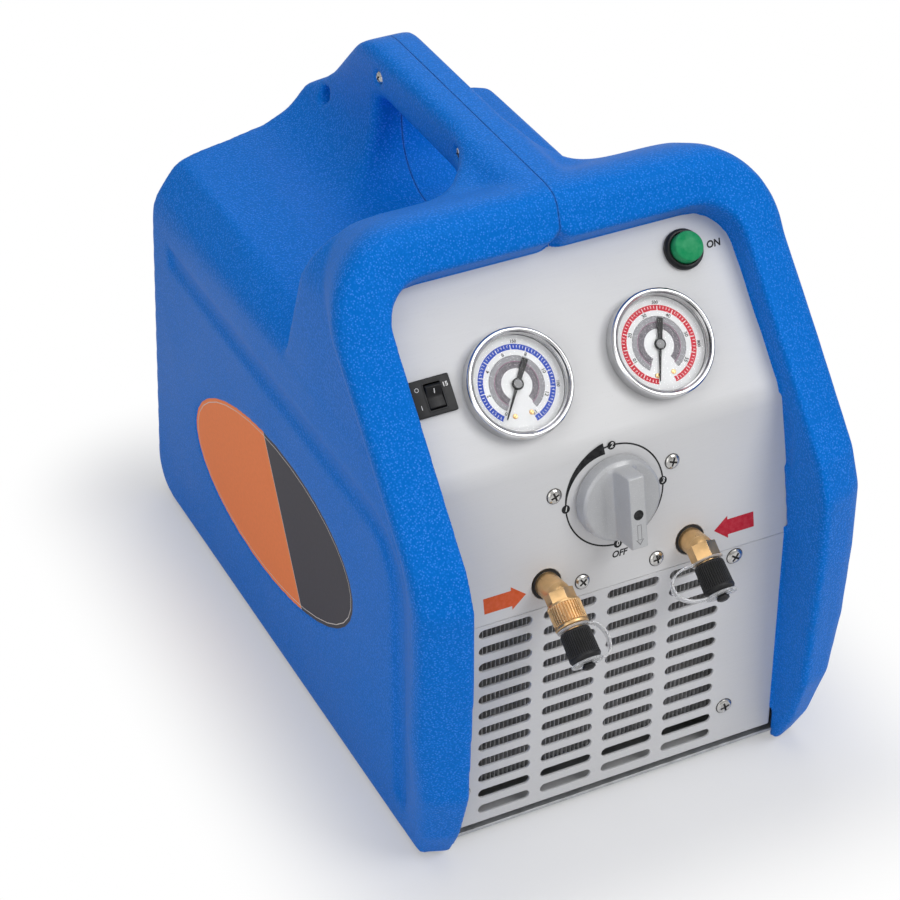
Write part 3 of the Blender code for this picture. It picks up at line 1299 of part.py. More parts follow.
def motor():
    turn = (-pi / 2, 0.0, 0.0)
    length = MOTOR_LENGTH
    bearing = 12 * MM
    housing = turned("motor_housing",
                     [(SHAFT_RADIUS + GAP, -4 * MM), (bearing, -4 * MM), (bearing, 0.0),
                     (MOTOR_RADIUS - 8 * MM, 0.0),
                      (MOTOR_RADIUS, 8 * MM), (MOTOR_RADIUS, length - 8 * MM),
                      (MOTOR_RADIUS - 4 * MM, length), (SHAFT_RADIUS + GAP, length)], ROUND, motor_grey())
    place(housing, None, (0.0, MOTOR_FRONT, SHAFT_Z), turn)
    shaft = turned("motor_shaft", disc_profile(SHAFT_RADIUS, FAN_Y - 5 * MM + GAP - MOTOR_FRONT,
                                               length + 12 * MM), COARSE, bright_steel())
    place(shaft, None, (0.0, MOTOR_FRONT, SHAFT_Z), turn)
    return housing


def compressor():
    """Crankcase with two opposed finned cylinders, and their heads."""
    middle = CRANK_FRONT + CRANK_LENGTH / 2
    turn = (-pi / 2, 0.0, 0.0)
    case = turned("compressor_crankcase",
                  [(0.0, CRANK_LENGTH), (30 * MM, CRANK_LENGTH), (38 * MM, CRANK_LENGTH - 6 * MM),
                   (38 * MM, 6 * MM),
                   (30 * MM, 0.0), (SHAFT_RADIUS + GAP, 0.0), (SHAFT_RADIUS + GAP, 16 * MM), (0.0, 16 * MM)],
                  ROUND, cast_aluminium())
    place(case, None, (0.0, CRANK_FRONT, SHAFT_Z), turn)
    fin_radius = CYLINDER_RADIUS + CYLINDER_FIN
    profile = [(0.0, 0.0), (CYLINDER_RADIUS, 0.0)]
    for index in range(CYLINDER_FINS):
        top = CYLINDER_REACH - (CYLINDER_FINS - 1 - index) * CYLINDER_FIN_PITCH
        profile += [(CYLINDER_RADIUS, top - 3 * MM), (fin_radius, top - 3 * MM), (fin_radius, top)]
        if index < CYLINDER_FINS - 1:
            profile.append((CYLINDER_RADIUS, top))
    profile.append((0.0, CYLINDER_REACH))
    for side in (-1, 1):
        lay = Matrix.Translation((0.0, middle, SHAFT_Z)) @ Matrix.Rotation(side * pi / 2, 4, "Y")
        barrel = turned("cylinder_left" if side < 0 else "cylinder_right", profile, 16, None, lay)
        boolean(case, barrel, "UNION")
    foot = box("crankcase_foot", (-22 * MM, middle - 26 * MM, CRADLE_TOP + GAP),
               (22 * MM, middle + 26 * MM, SHAFT_Z - 10 * MM))
    boolean(case, foot, "UNION")
    for side, name in ((-1, "left_cylinder_head"), (1, "right_cylinder_head")):
        inner = side * (CYLINDER_REACH + GAP)
        outer = inner + side * HEAD_THICKNESS
        half = CYLINDER_RADIUS + 8 * MM
        outline = rounded_outline(rectangle(2 * half, 2 * half, middle, SHAFT_Z), 10 * MM, 3)
        prism(name, outline, min(inner, outer), max(inner, outer), "X", cast_aluminium())


def cradle():
    """Steel bridge on rubber isolators that carries motor and compressor."""
    work = bmesh.new()
    low = BASE_TOP + ISOLATOR_HEIGHT + 2 * GAP
    rear = CRANK_FRONT + CRANK_LENGTH
    add_prism(work, [(-62 * MM, low), (62 * MM, low), (62 * MM, low + 3 * MM), (34 * MM, low + 3 * MM),
                     (34 * MM, CRADLE_TOP), (-34 * MM, CRADLE_TOP), (-34 * MM, low + 3 * MM),
                     (-62 * MM, low + 3 * MM)],
              MOTOR_FRONT + 10 * MM, rear, "Y")
    bridge = finish("compressor_cradle", work, plain_steel())
    lay = Matrix.Translation((0.0, MOTOR_FRONT - 10 * MM, SHAFT_Z)) @ Matrix.Rotation(-pi / 2, 4, "X")
    saddle = box("cradle_saddle", (-30 * MM, MOTOR_FRONT + 14 * MM, CRADLE_TOP - 4 * MM),
                 (30 * MM, MOTOR_FRONT + MOTOR_LENGTH - 14 * MM, CRADLE_TOP + 22 * MM))
    boolean(bridge, saddle, "UNION")
    scoop = turned("cradle_scoop", disc_profile(MOTOR_RADIUS + GAP, 0.0, MOTOR_LENGTH + 10 * MM + GAP / 2),
                   ROUND, None, lay)
    boolean(bridge, scoop)
    profile = [(0.0, 0.0), (9 * MM, 0.0), (7 * MM, ISOLATOR_HEIGHT / 2), (9 * MM, ISOLATOR_HEIGHT),
               (0.0, ISOLATOR_HEIGHT)]
    for end, y in (("front", MOTOR_FRONT + 22 * MM), ("rear", rear - 12 * MM)):
        for side, x in (("left", -50 * MM), ("right", 50 * MM)):
            place(turned("isolator_%s_%s" % (end, side), profile, COARSE, black_rubber()), None,
                  (x, y, BASE_TOP + GAP))


def electrics():
    """Run capacitor strapped on the motor and a pressure switch on the valve block."""
    radius = 18 * MM
    rest = SHAFT_Z + MOTOR_RADIUS + GAP
    lay = (-pi / 2, 0.0, 0.0)
    capacitor = turned("run_capacitor",
                       [(0.0, 0.0), (radius - 1 * MM, 0.0), (radius, 1 * MM), (radius, 66 * MM),
                        (radius - 2 * MM, 68 * MM), (0.0, 68 * MM)], 16, black_plastic())
    place(capacitor, None, (0.0, MOTOR_FRONT + 12 * MM, rest + radius), lay)


def gauge_rear(side):
    """World place of the end of a gauge's stem."""
    y, z = upper_point(GAUGE_UP, -GAUGE_DEPTH - 12 * MM - GAP)
    return Vector((side * GAUGE_X, y, z))


def plumbing():
    """Copper pipes between gauges, valve block, condenser and compressor."""
    middle_y, middle_z = middle_point(32 * MM, VALVE_BACK - GAP)
    inward = Vector((0.0, cos(MIDDLE_LEAN), -sin(MIDDLE_LEAN)))
    stem = Vector((0.0, cos(UPPER_LEAN), -sin(UPPER_LEAN)))
    for side, name in ((-1, "low_gauge_pipe"), (1, "high_gauge_pipe")):
        start = gauge_rear(side)
        top = Vector((side * 14 * MM, middle_y, middle_z))
        pipe(name, [start, start + stem * 4 * MM, start + stem * 8 * MM,
                    top + inward * 16 * MM + Vector((side * 10 * MM, 0, 8 * MM)),
                    top + inward * 8 * MM, top + inward * 4 * MM, top], 2.2 * MM, red_copper(), 4)
    port_y, port_z = middle_point(PORT_DOWN, MANIFOLD_BACK - GAP)
    crank = CRANK_FRONT + CRANK_LENGTH / 2
    head_x = CYLINDER_REACH + GAP + HEAD_THICKNESS / 2
    head_top = SHAFT_Z + CYLINDER_RADIUS + 8 * MM + GAP
    for side, name in ((-1, "suction_pipe"), (1, "discharge_pipe")):
        start = Vector((side * PORT_X, port_y, port_z))
        end = Vector((side * head_x, crank, head_top))
        pipe(name, [start, start + inward * 6 * MM, start + inward * 14 * MM,
                    Vector((side * 74 * MM, port_y + 50 * MM, port_z + 6 * MM)),
                    Vector((side * head_x, crank - 30 * MM, port_z + 4 * MM)),
                    end + Vector((0, 0, 18 * MM)), end + Vector((0, 0, 7 * MM)), end],
             4.2 * MM, red_copper(), 4)
    switch_y, switch_z = middle_point(PORT_DOWN - 16 * MM, VALVE_BACK - GAP)
    lay = Matrix.Rotation(-(pi / 2 + MIDDLE_LEAN), 4, "X")
    work = bmesh.new()
    add_turned(work, [(0.0, 0.0), (5 * MM, 0.0), (5 * MM, 6 * MM), (10 * MM, 6 * MM), (10 * MM, 20 * MM),
                      (7 * MM, 24 * MM), (0.0, 24 * MM)], COARSE, lay)
    place(finish("pressure_switch", work, black_plastic()), None, (0.0, switch_y, switch_z))


def clear_scene():
    for obj in list(bpy.data.objects):
        bpy.data.objects.remove(obj, do_unlink=True)


def main():
    clear_scene()
    upper = empty("upper_face", (0.0, FOLD_Y, FOLD_Z), (pi / 2 - UPPER_LEAN, 0.0, 0.0))
    middle = empty("middle_face", (0.0, FOLD_Y, FOLD_Z), (pi / 2 - MIDDLE_LEAN, 0.0, 0.0))
    right = right_shell(upper)
    left_shell(right)
    control_panel(upper, middle)
    grille_panel()
    base_plate()
    rubber_feet()
    rear_group()
    gauge("low", upper, -GAUGE_X, LOW_NEEDLE)
    gauge("high", upper, GAUGE_X, HIGH_NEEDLE)
    start_button(upper)
    breaker(upper)
    selector(middle)
    ports(middle)
    condenser()
    fan()
    motor()
    compressor()
    cradle()
    electrics()
    plumbing()


main()
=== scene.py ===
"""The looks of the refrigerant recovery machine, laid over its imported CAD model.

Run as a script in Blender 4.5. Each piece has an operator, and the operators are also listed in the
sidebar of the 3D view. All places are in metres in the frame of the CAD model, whose -Y side is the front.
"""

from math import cos, pi, radians, sin, tan

import bmesh
import bpy
from bpy.props import FloatProperty, FloatVectorProperty, PointerProperty
from mathutils import Matrix, Vector
from mathutils.bvhtree import BVHTree


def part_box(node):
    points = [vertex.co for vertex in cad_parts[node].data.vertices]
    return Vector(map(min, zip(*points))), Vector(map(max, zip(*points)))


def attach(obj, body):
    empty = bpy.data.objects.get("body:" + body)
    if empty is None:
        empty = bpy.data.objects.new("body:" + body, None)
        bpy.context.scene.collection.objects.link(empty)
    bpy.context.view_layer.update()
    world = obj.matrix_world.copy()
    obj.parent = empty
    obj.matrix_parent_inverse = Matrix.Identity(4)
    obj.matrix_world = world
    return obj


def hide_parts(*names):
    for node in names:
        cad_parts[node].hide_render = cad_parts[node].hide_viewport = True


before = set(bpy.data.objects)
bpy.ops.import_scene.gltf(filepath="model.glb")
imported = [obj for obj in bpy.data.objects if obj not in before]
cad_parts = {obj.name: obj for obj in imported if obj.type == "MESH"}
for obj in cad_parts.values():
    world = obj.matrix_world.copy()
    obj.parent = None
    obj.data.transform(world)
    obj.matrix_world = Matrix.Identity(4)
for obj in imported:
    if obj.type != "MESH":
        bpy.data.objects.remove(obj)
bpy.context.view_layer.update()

bl_info = {
    "name": "Refrigerant recovery machine",
    "version": (1, 0, 0),
    "blender": (4, 5, 0),
    "location": "3D View > Sidebar > Machine",
    "description": "Dresses the CAD model of a portable refrigerant recovery machine",
    "category": "Object",
}

MM = 0.001


def tint(red, green, blue):
    """The linear colour of an 8-bit screen colour."""
    shares = (red / 255.0, green / 255.0, blue / 255.0)
    return tuple(s / 12.92 if s <= 0.04045 else ((s + 0.055) / 1.055) ** 2.4 for s in shares)


# Places

FOLD_Y = -154.6 * MM
FOLD_Z = 236.0 * MM


def face_frame(lean):
    """Frame on a front face that leans back by an angle, with its origin on the fold."""
    return Matrix.Translation((0.0, FOLD_Y, FOLD_Z)) @ Matrix.Rotation(pi / 2 - lean, 4, "X")


def spot(face, x, y, z=0.0, turn=0.0, scale=1.0):
    """A place on a face, in millimetres, turned about the face's own normal."""
    return (face @ Matrix.Translation((x * MM, y * MM, z * MM)) @ Matrix.Rotation(radians(turn), 4, "Z")
            @ Matrix.Scale(scale, 4))


# Frames: METRES scales millimetres down, and ACROSS turns (y, z, x) into (x, y, z)
METRES = Matrix.Scale(MM, 4)
ACROSS = Matrix(((0.0, 0.0, 1.0, 0.0), (1.0, 0.0, 0.0, 0.0), (0.0, 1.0, 0.0, 0.0), (0.0, 0.0, 0.0, 1.0)))
UPPER = face_frame(radians(43.0))
MIDDLE = face_frame(radians(10.5))
REAR_LEAN = radians(6.4)
REAR_MIDDLE = 118.0
REAR = (Matrix.Translation((0.0, 206.371 * MM, REAR_MIDDLE * MM)) @ Matrix.Rotation(pi, 4, "Z")
        @ Matrix.Rotation(pi / 2 - REAR_LEAN, 4, "X"))

# Places on the faces, in millimetres. A port's third number is the length of its stub
GAUGE_X, GAUGE_UP = 42.4, 41.1
KNOB_UP = -32.6
BREAKER_UP = 47.0
IN_PORT = (-43.8, -72.8, 15.0)
OUT_PORT = (43.8, -72.8, 13.0)
LEG_TURN = 45.0

# Screws and holes in the shells: y, z and a hole's radius, in millimetres
HANDLE_SCREWS = ((-7.9, 337.0), (94.6, 334.0))
HOLES = ((-94.6, 275.2, 5.2), (-121.5, 244.2, 5.2), (164.1, 290.0, 5.2),
         *((y, z, 4.2) for y, z in HANDLE_SCREWS))


def leg_frame(port):
    """Frame at a port's elbow, whose z runs down the leg."""
    return MIDDLE @ Matrix.Translation(Vector(port) * MM) @ Matrix.Rotation(radians(LEG_TURN), 4, "X")


# Sizes and colours

class MachineSizes(bpy.types.PropertyGroup):
    """Sizes of the dressed pieces."""

    bezel_radius: FloatProperty(name="Bezel radius", description="Outer radius of a gauge's bright bezel",
                                default=0.0298, min=0.028, max=0.0298, unit="LENGTH")
    bezel_height: FloatProperty(name="Bezel height", description="How far a gauge's bezel stands proud",
                                default=0.0095, min=0.0085, max=0.0095, unit="LENGTH")
    needle_length: FloatProperty(name="Needle length", description="From a gauge's hub to its needle's tip",
                                 default=0.0202, min=0.016, max=0.0204, unit="LENGTH")
    ring_radius: FloatProperty(name="Selector ring radius", description="Radius of the ring round the knob",
                               default=0.0293, min=0.027, max=0.032, unit="LENGTH")
    grain_size: FloatProperty(name="Grain size", description="Distance between the shell's pebbles",
                              default=0.00125, min=0.0008, max=0.004, unit="LENGTH")
    screw_radius: FloatProperty(name="Screw head radius", description="Radius of the domed panel screws",
                                default=0.0041, min=0.003, max=0.0046, unit="LENGTH")


def colour(label, text, shade):
    """A colour property with its default."""
    return FloatVectorProperty(name=label, description=text, subtype="COLOR", size=3, min=0.0, max=1.0,
                               default=shade)


class MachineColours(bpy.types.PropertyGroup):
    """Colours of the dressed pieces."""

    shell: colour("Shell", "Moulded shell", tint(4, 128, 238))
    panel: colour("Panel", "Painted sheet metal", tint(214, 214, 215))
    black: colour("Black plastic", "Caps, housings and gauge cases", tint(22, 22, 24))
    brass: colour("Brass", "Port fittings", tint(232, 190, 134))
    knob: colour("Knob", "Selector knob", tint(184, 185, 187))
    button: colour("Button", "Start button", tint(4, 150, 92))
    label_rear: colour("Label, rear part", "Rear part of the side label", tint(252, 134, 66))
    label_front: colour("Label, front part", "Front part of the side label", tint(60, 57, 64))
    low_scale: colour("Low scale", "Band of the low pressure gauge", tint(34, 68, 166))
    high_scale: colour("High scale", "Band of the high pressure gauge", tint(186, 34, 52))
    arrow_in: colour("Inlet arrow", "Arrow beside the inlet port", tint(214, 92, 48))
    arrow_out: colour("Outlet arrow", "Arrow beside the outlet port", tint(190, 30, 52))


# Materials

class Tree:
    """A node tree with short ways to add nodes to it."""

    def __init__(self, owner):
        owner.use_nodes = True
        self.nodes = owner.node_tree.nodes
        self.links = owner.node_tree.links

    def feed(self, socket, value):
        """Links a socket or sets its value."""
        if isinstance(value, bpy.types.NodeSocket):
            self.links.new(value, socket)
        elif isinstance(value, tuple) and len(value) == 3 and socket.type == "RGBA":
            socket.default_value = (*value, 1.0)
        else:
            socket.default_value = value

    def remap(self, value, low, high, to_low=0.0, to_high=1.0, smooth=False):
        """A value stretched from one range to another and kept inside it."""
        node = self.nodes.new("ShaderNodeMapRange")
        if smooth:
            node.interpolation_type = "SMOOTHSTEP"
        for name, number in (("From Min", low), ("From Max", high), ("To Min", to_low), ("To Max", to_high)):
            node.inputs[name].default_value = number
        self.feed(node.inputs["Value"], value)
        return node.outputs["Result"]

    def calc(self, work, first, second):
        """An operation on two values."""
        node = self.nodes.new("ShaderNodeMath")
        node.operation = work
        self.feed(node.inputs[0], first)
        self.feed(node.inputs[1], second)
        return node.outputs[0]

    def vector(self, work, first, second=None):
        """An operation on two vectors, or on one."""
        node = self.nodes.new("ShaderNodeVectorMath")
        node.operation = work
        self.feed(node.inputs[0], first)
        if second is not None:
            self.feed(node.inputs[1], second)
        return node.outputs["Value" if work in ("DOT_PRODUCT", "LENGTH") else "Vector"]

    def seen(self, mirrored):
        """1 where a camera or transmission ray looks, and a share of it where a glossy ray does."""
        rays = self.nodes.new("ShaderNodeLightPath").outputs
        direct = self.calc("MAXIMUM", rays["Is Camera Ray"], rays["Is Transmission Ray"])
        return self.calc("MAXIMUM", direct, self.calc("MULTIPLY", rays["Is Glossy Ray"], mirrored))


class Paint(Tree):
    """A new material, whose textures lie on its object's own coordinates."""

    def __init__(self, name, **constants):
        self.material = bpy.data.materials.new(name)
        super().__init__(self.material)
        self.shader = self.nodes["Principled BSDF"]
        self.where = self.nodes.new("ShaderNodeTexCoord").outputs["Object"]
        for socket, value in constants.items():
            self.shader.inputs[socket.replace("_", " ")].default_value = value

    def stretched(self, scale):
        """Object coordinates, stretched."""
        node = self.nodes.new("ShaderNodeMapping")
        self.feed(node.inputs["Vector"], self.where)
        node.inputs["Scale"].default_value = scale
        return node.outputs["Vector"]

    def noise(self, scale, detail=3.0, rough=0.55, where=None):
        """A noise value."""
        node = self.nodes.new("ShaderNodeTexNoise")
        self.feed(node.inputs["Vector"], where or self.where)
        node.inputs["Scale"].default_value = scale
        node.inputs["Detail"].default_value = detail
        node.inputs["Roughness"].default_value = rough
        return node.outputs["Fac"]

    def cells(self, scale, smooth):
        """Distance from the nearest cell's middle."""
        node = self.nodes.new("ShaderNodeTexVoronoi")
        node.feature = "SMOOTH_F1"
        self.feed(node.inputs["Vector"], self.where)
        node.inputs["Scale"].default_value = scale
        node.inputs["Smoothness"].default_value = smooth
        return node.outputs["Distance"]

    def spread(self, value, low=0.0, high=1.0):
        """A noise value stretched to a range."""
        return self.remap(value, 0.3, 0.7, low, high)

    def mix(self, share, first, second):
        """Two colours mixed."""
        node = self.nodes.new("ShaderNodeMix")
        node.data_type = "RGBA"
        self.feed(node.inputs[0], share)
        self.feed(node.inputs[6], first)
        self.feed(node.inputs[7], second)
        return node.outputs[2]

    def bump(self, height, depth, strength=1.0, base=None):
        """A normal bent by a height of so many metres."""
        node = self.nodes.new("ShaderNodeBump")
        node.inputs["Strength"].default_value = strength
        node.inputs["Distance"].default_value = depth
        self.feed(node.inputs["Height"], height)
        if base is not None:
            self.feed(node.inputs["Normal"], base)
        return node.outputs["Normal"]

    def soft(self, radius):
        """A normal that rounds the edges."""
        node = self.nodes.new("ShaderNodeBevel")
        node.samples = 6
        node.inputs["Radius"].default_value = radius
        return node.outputs["Normal"]

    def worn(self, normal, share, base, shade):
        """Painted highlight: a colour with a share of another along the edges, where the soft normal leaves
        the face's own.
        """
        face = self.nodes.new("ShaderNodeNewGeometry")
        edges = self.remap(self.vector("DOT_PRODUCT", normal, face.outputs["Normal"]), 0.80, 0.985, 1.0, 0.0)
        return self.mix(self.calc("MULTIPLY", edges, share), base, shade)

    def done(self, base, rough=None, normal=None):
        """Feeds the shader and hands the material back."""
        self.feed(self.shader.inputs["Base Color"], base)
        if rough is not None:
            self.feed(self.shader.inputs["Roughness"], rough)
        if normal is not None:
            self.feed(self.shader.inputs["Normal"], normal)
        return self.material


def darker(shade, share):
    """A colour towards black."""
    return tuple(part * share for part in shade)


def lighter(shade, share):
    """A colour towards white."""
    return tuple(part + (1.0 - part) * share for part in shade)


def shell_plastic(name, colours, sizes):
    """Blue moulding with a pebble grain, painted shade in its troughs and painted highlight on tips and
    edges.
    """
    paint = Paint(name, Specular_IOR_Level=0.13, Specular_Tint=(0.30, 0.62, 1.0, 1.0))
    blue = tuple(colours.shell)
    edge = paint.soft(1.6 * MM)
    pebble = paint.cells(1.0 / sizes.grain_size, 0.35)
    tips = paint.remap(pebble, 0.10, 0.58, 1.0, 0.0)
    tip_highlight = paint.remap(pebble, 0.06, 0.30, 0.30, 0.0)
    cloud = paint.noise(11.0, 4.0)
    base = paint.mix(paint.spread(cloud), darker(blue, 0.92), lighter(blue, 0.02))
    # Painted shade: the troughs between the pebbles are darker
    base = paint.mix(tips, darker(blue, 0.70), base)
    # Painted highlight: the tips of the pebbles are lighter
    base = paint.mix(tip_highlight, base, lighter(blue, 0.22))
    # Painted highlight along the rounded edges
    base = paint.worn(edge, 0.22, base, lighter(blue, 0.16))
    rough = paint.spread(cloud, 0.40, 0.50)
    return paint.done(base, rough, paint.bump(tips, 0.20 * MM, 1.0, edge))


def panel_paint(name, colours, sizes):
    """Pale paint on sheet metal, with a faint brushing and a painted highlight along its edges."""
    paint = Paint(name, Metallic=0.06, Specular_IOR_Level=0.25)
    grey = tuple(colours.panel)
    edge = paint.soft(0.7 * MM)
    brush = paint.noise(1.0, 2.0, 0.6, paint.stretched((60.0, 1500.0, 1500.0)))
    cloud = paint.noise(7.0, 3.0)
    speck = paint.noise(1300.0, 2.0)
    base = paint.mix(paint.spread(cloud), darker(grey, 0.965), grey)
    base = paint.mix(paint.spread(brush, 0.0, 0.06), base, darker(grey, 0.70))
    base = paint.mix(paint.remap(speck, 0.66, 0.74, 0.0, 0.22), base, darker(grey, 0.62))
    # Painted highlight along the rounded edges
    base = paint.worn(edge, 0.30, base, lighter(grey, 0.5))
    rough = paint.remap(brush, 0.25, 0.75, 0.44, 0.56)
    return paint.done(base, rough, paint.bump(brush, 0.02 * MM, 0.35, edge))


def black_plastic(name, colours, sizes):
    """Black moulding with a fine matt grain and a painted highlight along its edges."""
    paint = Paint(name, Specular_IOR_Level=0.25)
    black = tuple(colours.black)
    edge = paint.soft(0.5 * MM)
    grain = paint.noise(1800.0, 2.0)
    cloud = paint.noise(45.0, 3.0)
    base = paint.mix(paint.spread(cloud), darker(black, 0.75), lighter(black, 0.015))
    # Painted highlight along the rounded edges
    base = paint.worn(edge, 0.5, base, lighter(black, 0.10))
    rough = paint.spread(grain, 0.34, 0.50)
    return paint.done(base, rough, paint.bump(grain, 0.04 * MM, 0.4, edge))


def rubber(name, colours, sizes):
    """Dark rubber."""
    paint = Paint(name, Specular_IOR_Level=0.3)
    grain = paint.noise(900.0, 3.0)
    base = paint.mix(paint.noise(60.0), (0.012, 0.012, 0.013), (0.030, 0.030, 0.032))
    return paint.done(base, paint.spread(grain, 0.62, 0.80), paint.bump(grain, 0.06 * MM, 0.5))


def bright_metal(name, colours, sizes):
    """Polished steel with hairline scratches."""
    paint = Paint(name, Metallic=1.0)
    hair = paint.noise(1.0, 2.0, 0.6, paint.stretched((900.0, 90.0, 2600.0)))
    smear = paint.noise(70.0, 3.0)
    base = paint.mix(paint.spread(smear), (0.50, 0.50, 0.51), (0.66, 0.66, 0.67))
    return paint.done(base, paint.spread(smear, 0.09, 0.17), paint.bump(hair, 0.01 * MM, 0.12))


def screw_metal(name, colours, sizes):
    """Nickel plated screws."""
    paint = Paint(name, Metallic=1.0)
    smear = paint.noise(400.0, 3.0)
    edge = paint.soft(0.15 * MM)
    base = paint.mix(paint.spread(smear), (0.44, 0.43, 0.41), (0.70, 0.69, 0.67))
    return paint.done(base, paint.spread(smear, 0.16, 0.32), paint.bump(smear, 0.02 * MM, 0.3, edge))


def recess_shade(name, colours, sizes):
    """Painted shade: dark metal for a screw's cross recess and the thin ring round its head."""
    paint = Paint(name, Metallic=0.6)
    smear = paint.noise(500.0, 2.0)
    return paint.done(paint.mix(smear, (0.03, 0.03, 0.03), (0.09, 0.085, 0.08)),
                      paint.spread(smear, 0.4, 0.6))


def sheet_steel(name, colours, sizes):
    """Zinc plated steel inside the machine."""
    paint = Paint(name, Metallic=0.85)
    crystal = paint.cells(160.0, 0.2)
    smear = paint.noise(30.0, 3.0)
    base = paint.mix(paint.remap(crystal, 0.1, 0.7), (0.46, 0.47, 0.48), (0.60, 0.61, 0.62))
    return paint.done(base, paint.spread(smear, 0.32, 0.52), paint.soft(0.6 * MM))


def brass(name, colours, sizes):
    """Turned brass, a little dulled, with a painted highlight along its edges."""
    paint = Paint(name, Metallic=0.86)
    tone = tuple(colours.brass)
    edge = paint.soft(0.35 * MM)
    smear = paint.noise(120.0, 4.0)
    turning = paint.noise(1.0, 2.0, 0.5, paint.stretched((500.0, 1500.0, 2200.0)))
    base = paint.mix(paint.remap(smear, 0.35, 0.65), darker(tone, 0.78), tone)
    # Painted highlight along the rounded edges
    base = paint.worn(edge, 0.6, base, lighter(tone, 0.35))
    return paint.done(base, paint.spread(smear, 0.24, 0.40), paint.bump(turning, 0.02 * MM, 0.3, edge))


def knob_plastic(name, colours, sizes):
    """Silver grey moulded plastic with fine flakes and a painted highlight along its edges."""
    paint = Paint(name, Metallic=0.18, Specular_IOR_Level=0.35)
    grey = tuple(colours.knob)
    edge = paint.soft(0.9 * MM)
    flake = paint.noise(2600.0, 1.0)
    cloud = paint.noise(35.0, 3.0)
    base = paint.mix(paint.spread(cloud), darker(grey, 0.90), lighter(grey, 0.04))
    base = paint.mix(paint.remap(flake, 0.58, 0.70, 0.0, 0.45), base, lighter(grey, 0.42))
    # Painted highlight along the rounded edges
    base = paint.worn(edge, 0.55, base, lighter(grey, 0.40))
    return paint.done(base, paint.spread(flake, 0.30, 0.46), paint.bump(flake, 0.03 * MM, 0.4, edge))


def button_plastic(name, colours, sizes):
    """Green satin plastic."""
    paint = Paint(name, Specular_IOR_Level=0.08)
    green = tuple(colours.button)
    cloud = paint.noise(160.0, 3.0)
    base = paint.mix(paint.spread(cloud), darker(green, 0.82), lighter(green, 0.05))
    return paint.done(base, paint.spread(cloud, 0.36, 0.46), paint.soft(0.4 * MM))


def dial_card(name, colours, sizes):
    """White printed dial, a little satin."""
    paint = Paint(name, Specular_IOR_Level=0.12)
    cloud = paint.noise(90.0, 3.0)
    base = paint.mix(paint.spread(cloud), tint(200, 201, 203), tint(212, 213, 214))
    return paint.done(base, paint.spread(cloud, 0.34, 0.46))


def ink(shade, worn=0.86):
    """A maker of a printing ink, whose colour is given or is one of the machine's colours by name."""
    def make(name, colours, sizes):
        tone = tuple(getattr(colours, shade)) if isinstance(shade, str) else shade
        paint = Paint(name, Specular_IOR_Level=0.12)
        cloud = paint.noise(420.0, 3.0)
        base = paint.mix(paint.spread(cloud), darker(tone, worn), lighter(tone, 0.03))
        return paint.done(base, paint.spread(cloud, 0.42, 0.55))
    return make


def scale_ink(shade):
    """A maker of a scale's fine print, with paper between its specks."""
    def make(name, colours, sizes):
        paint = Paint(name, Specular_IOR_Level=0.12)
        cloud = paint.noise(1500.0, 2.0)
        base = paint.mix(paint.remap(cloud, 0.50, 0.62, 0.0, 0.30), shade, tint(190, 190, 192))
        return paint.done(base, paint.spread(cloud, 0.40, 0.50))
    return make


def lens_glass(name, colours, sizes):
    """Clear gauge glass."""
    paint = Paint(name, Transmission_Weight=1.0, IOR=1.05, Specular_IOR_Level=0.5)
    smear = paint.noise(60.0, 3.0)
    return paint.done((1.0, 1.0, 1.0), paint.spread(smear, 0.0, 0.02))


def clear_plastic(name, colours, sizes):
    """Clear soft plastic of the cap straps."""
    paint = Paint(name, Transmission_Weight=0.72, IOR=1.2)
    smear = paint.noise(60.0, 2.0)
    base = paint.mix(paint.spread(smear), (0.80, 0.81, 0.82), (0.90, 0.90, 0.91))
    return paint.done(base, paint.spread(smear, 0.22, 0.32))


def copper(name, colours, sizes):
    """Drawn copper pipe with a little tarnish."""
    paint = Paint(name, Metallic=1.0)
    smear = paint.noise(55.0, 4.0)
    base = paint.mix(paint.remap(smear, 0.35, 0.7), (0.78, 0.38, 0.24), (0.46, 0.20, 0.12))
    return paint.done(base, paint.spread(smear, 0.22, 0.42))


def cast_metal(name, colours, sizes):
    """Sand cast aluminium."""
    paint = Paint(name, Metallic=0.9)
    grain = paint.noise(700.0, 4.0, 0.65)
    base = paint.mix(paint.spread(grain), (0.40, 0.40, 0.41), (0.56, 0.56, 0.57))
    return paint.done(base, paint.spread(grain, 0.42, 0.62),
                      paint.bump(grain, 0.25 * MM, 0.6, paint.soft(1.2 * MM)))


def fin_metal(name, colours, sizes):
    """Thin aluminium fins with dust on them."""
    paint = Paint(name, Metallic=0.35, Specular_IOR_Level=0.5)
    dust = paint.noise(140.0, 4.0)
    base = paint.mix(paint.remap(dust, 0.35, 0.7), (0.74, 0.74, 0.75), (0.44, 0.44, 0.44))
    return paint.done(base, paint.spread(dust, 0.38, 0.60))


def motor_paint(name, colours, sizes):
    """Stoved grey paint on the motor."""
    paint = Paint(name, Specular_IOR_Level=0.5)
    peel = paint.noise(500.0, 2.0)
    cloud = paint.noise(25.0, 3.0)
    base = paint.mix(paint.spread(cloud), (0.08, 0.085, 0.09), (0.12, 0.125, 0.13))
    return paint.done(base, paint.spread(peel, 0.34, 0.44),
                      paint.bump(peel, 0.05 * MM, 0.4, paint.soft(1.0 * MM)))


def capacitor_wrap(name, colours, sizes):
    """Pale plastic wrap round the run capacitor."""
    paint = Paint(name, Specular_IOR_Level=0.45)
    cloud = paint.noise(80.0, 3.0)
    base = paint.mix(paint.spread(cloud), tint(196, 196, 190), tint(222, 222, 216))
    return paint.done(base, paint.spread(cloud, 0.30, 0.42), paint.soft(0.8 * MM))


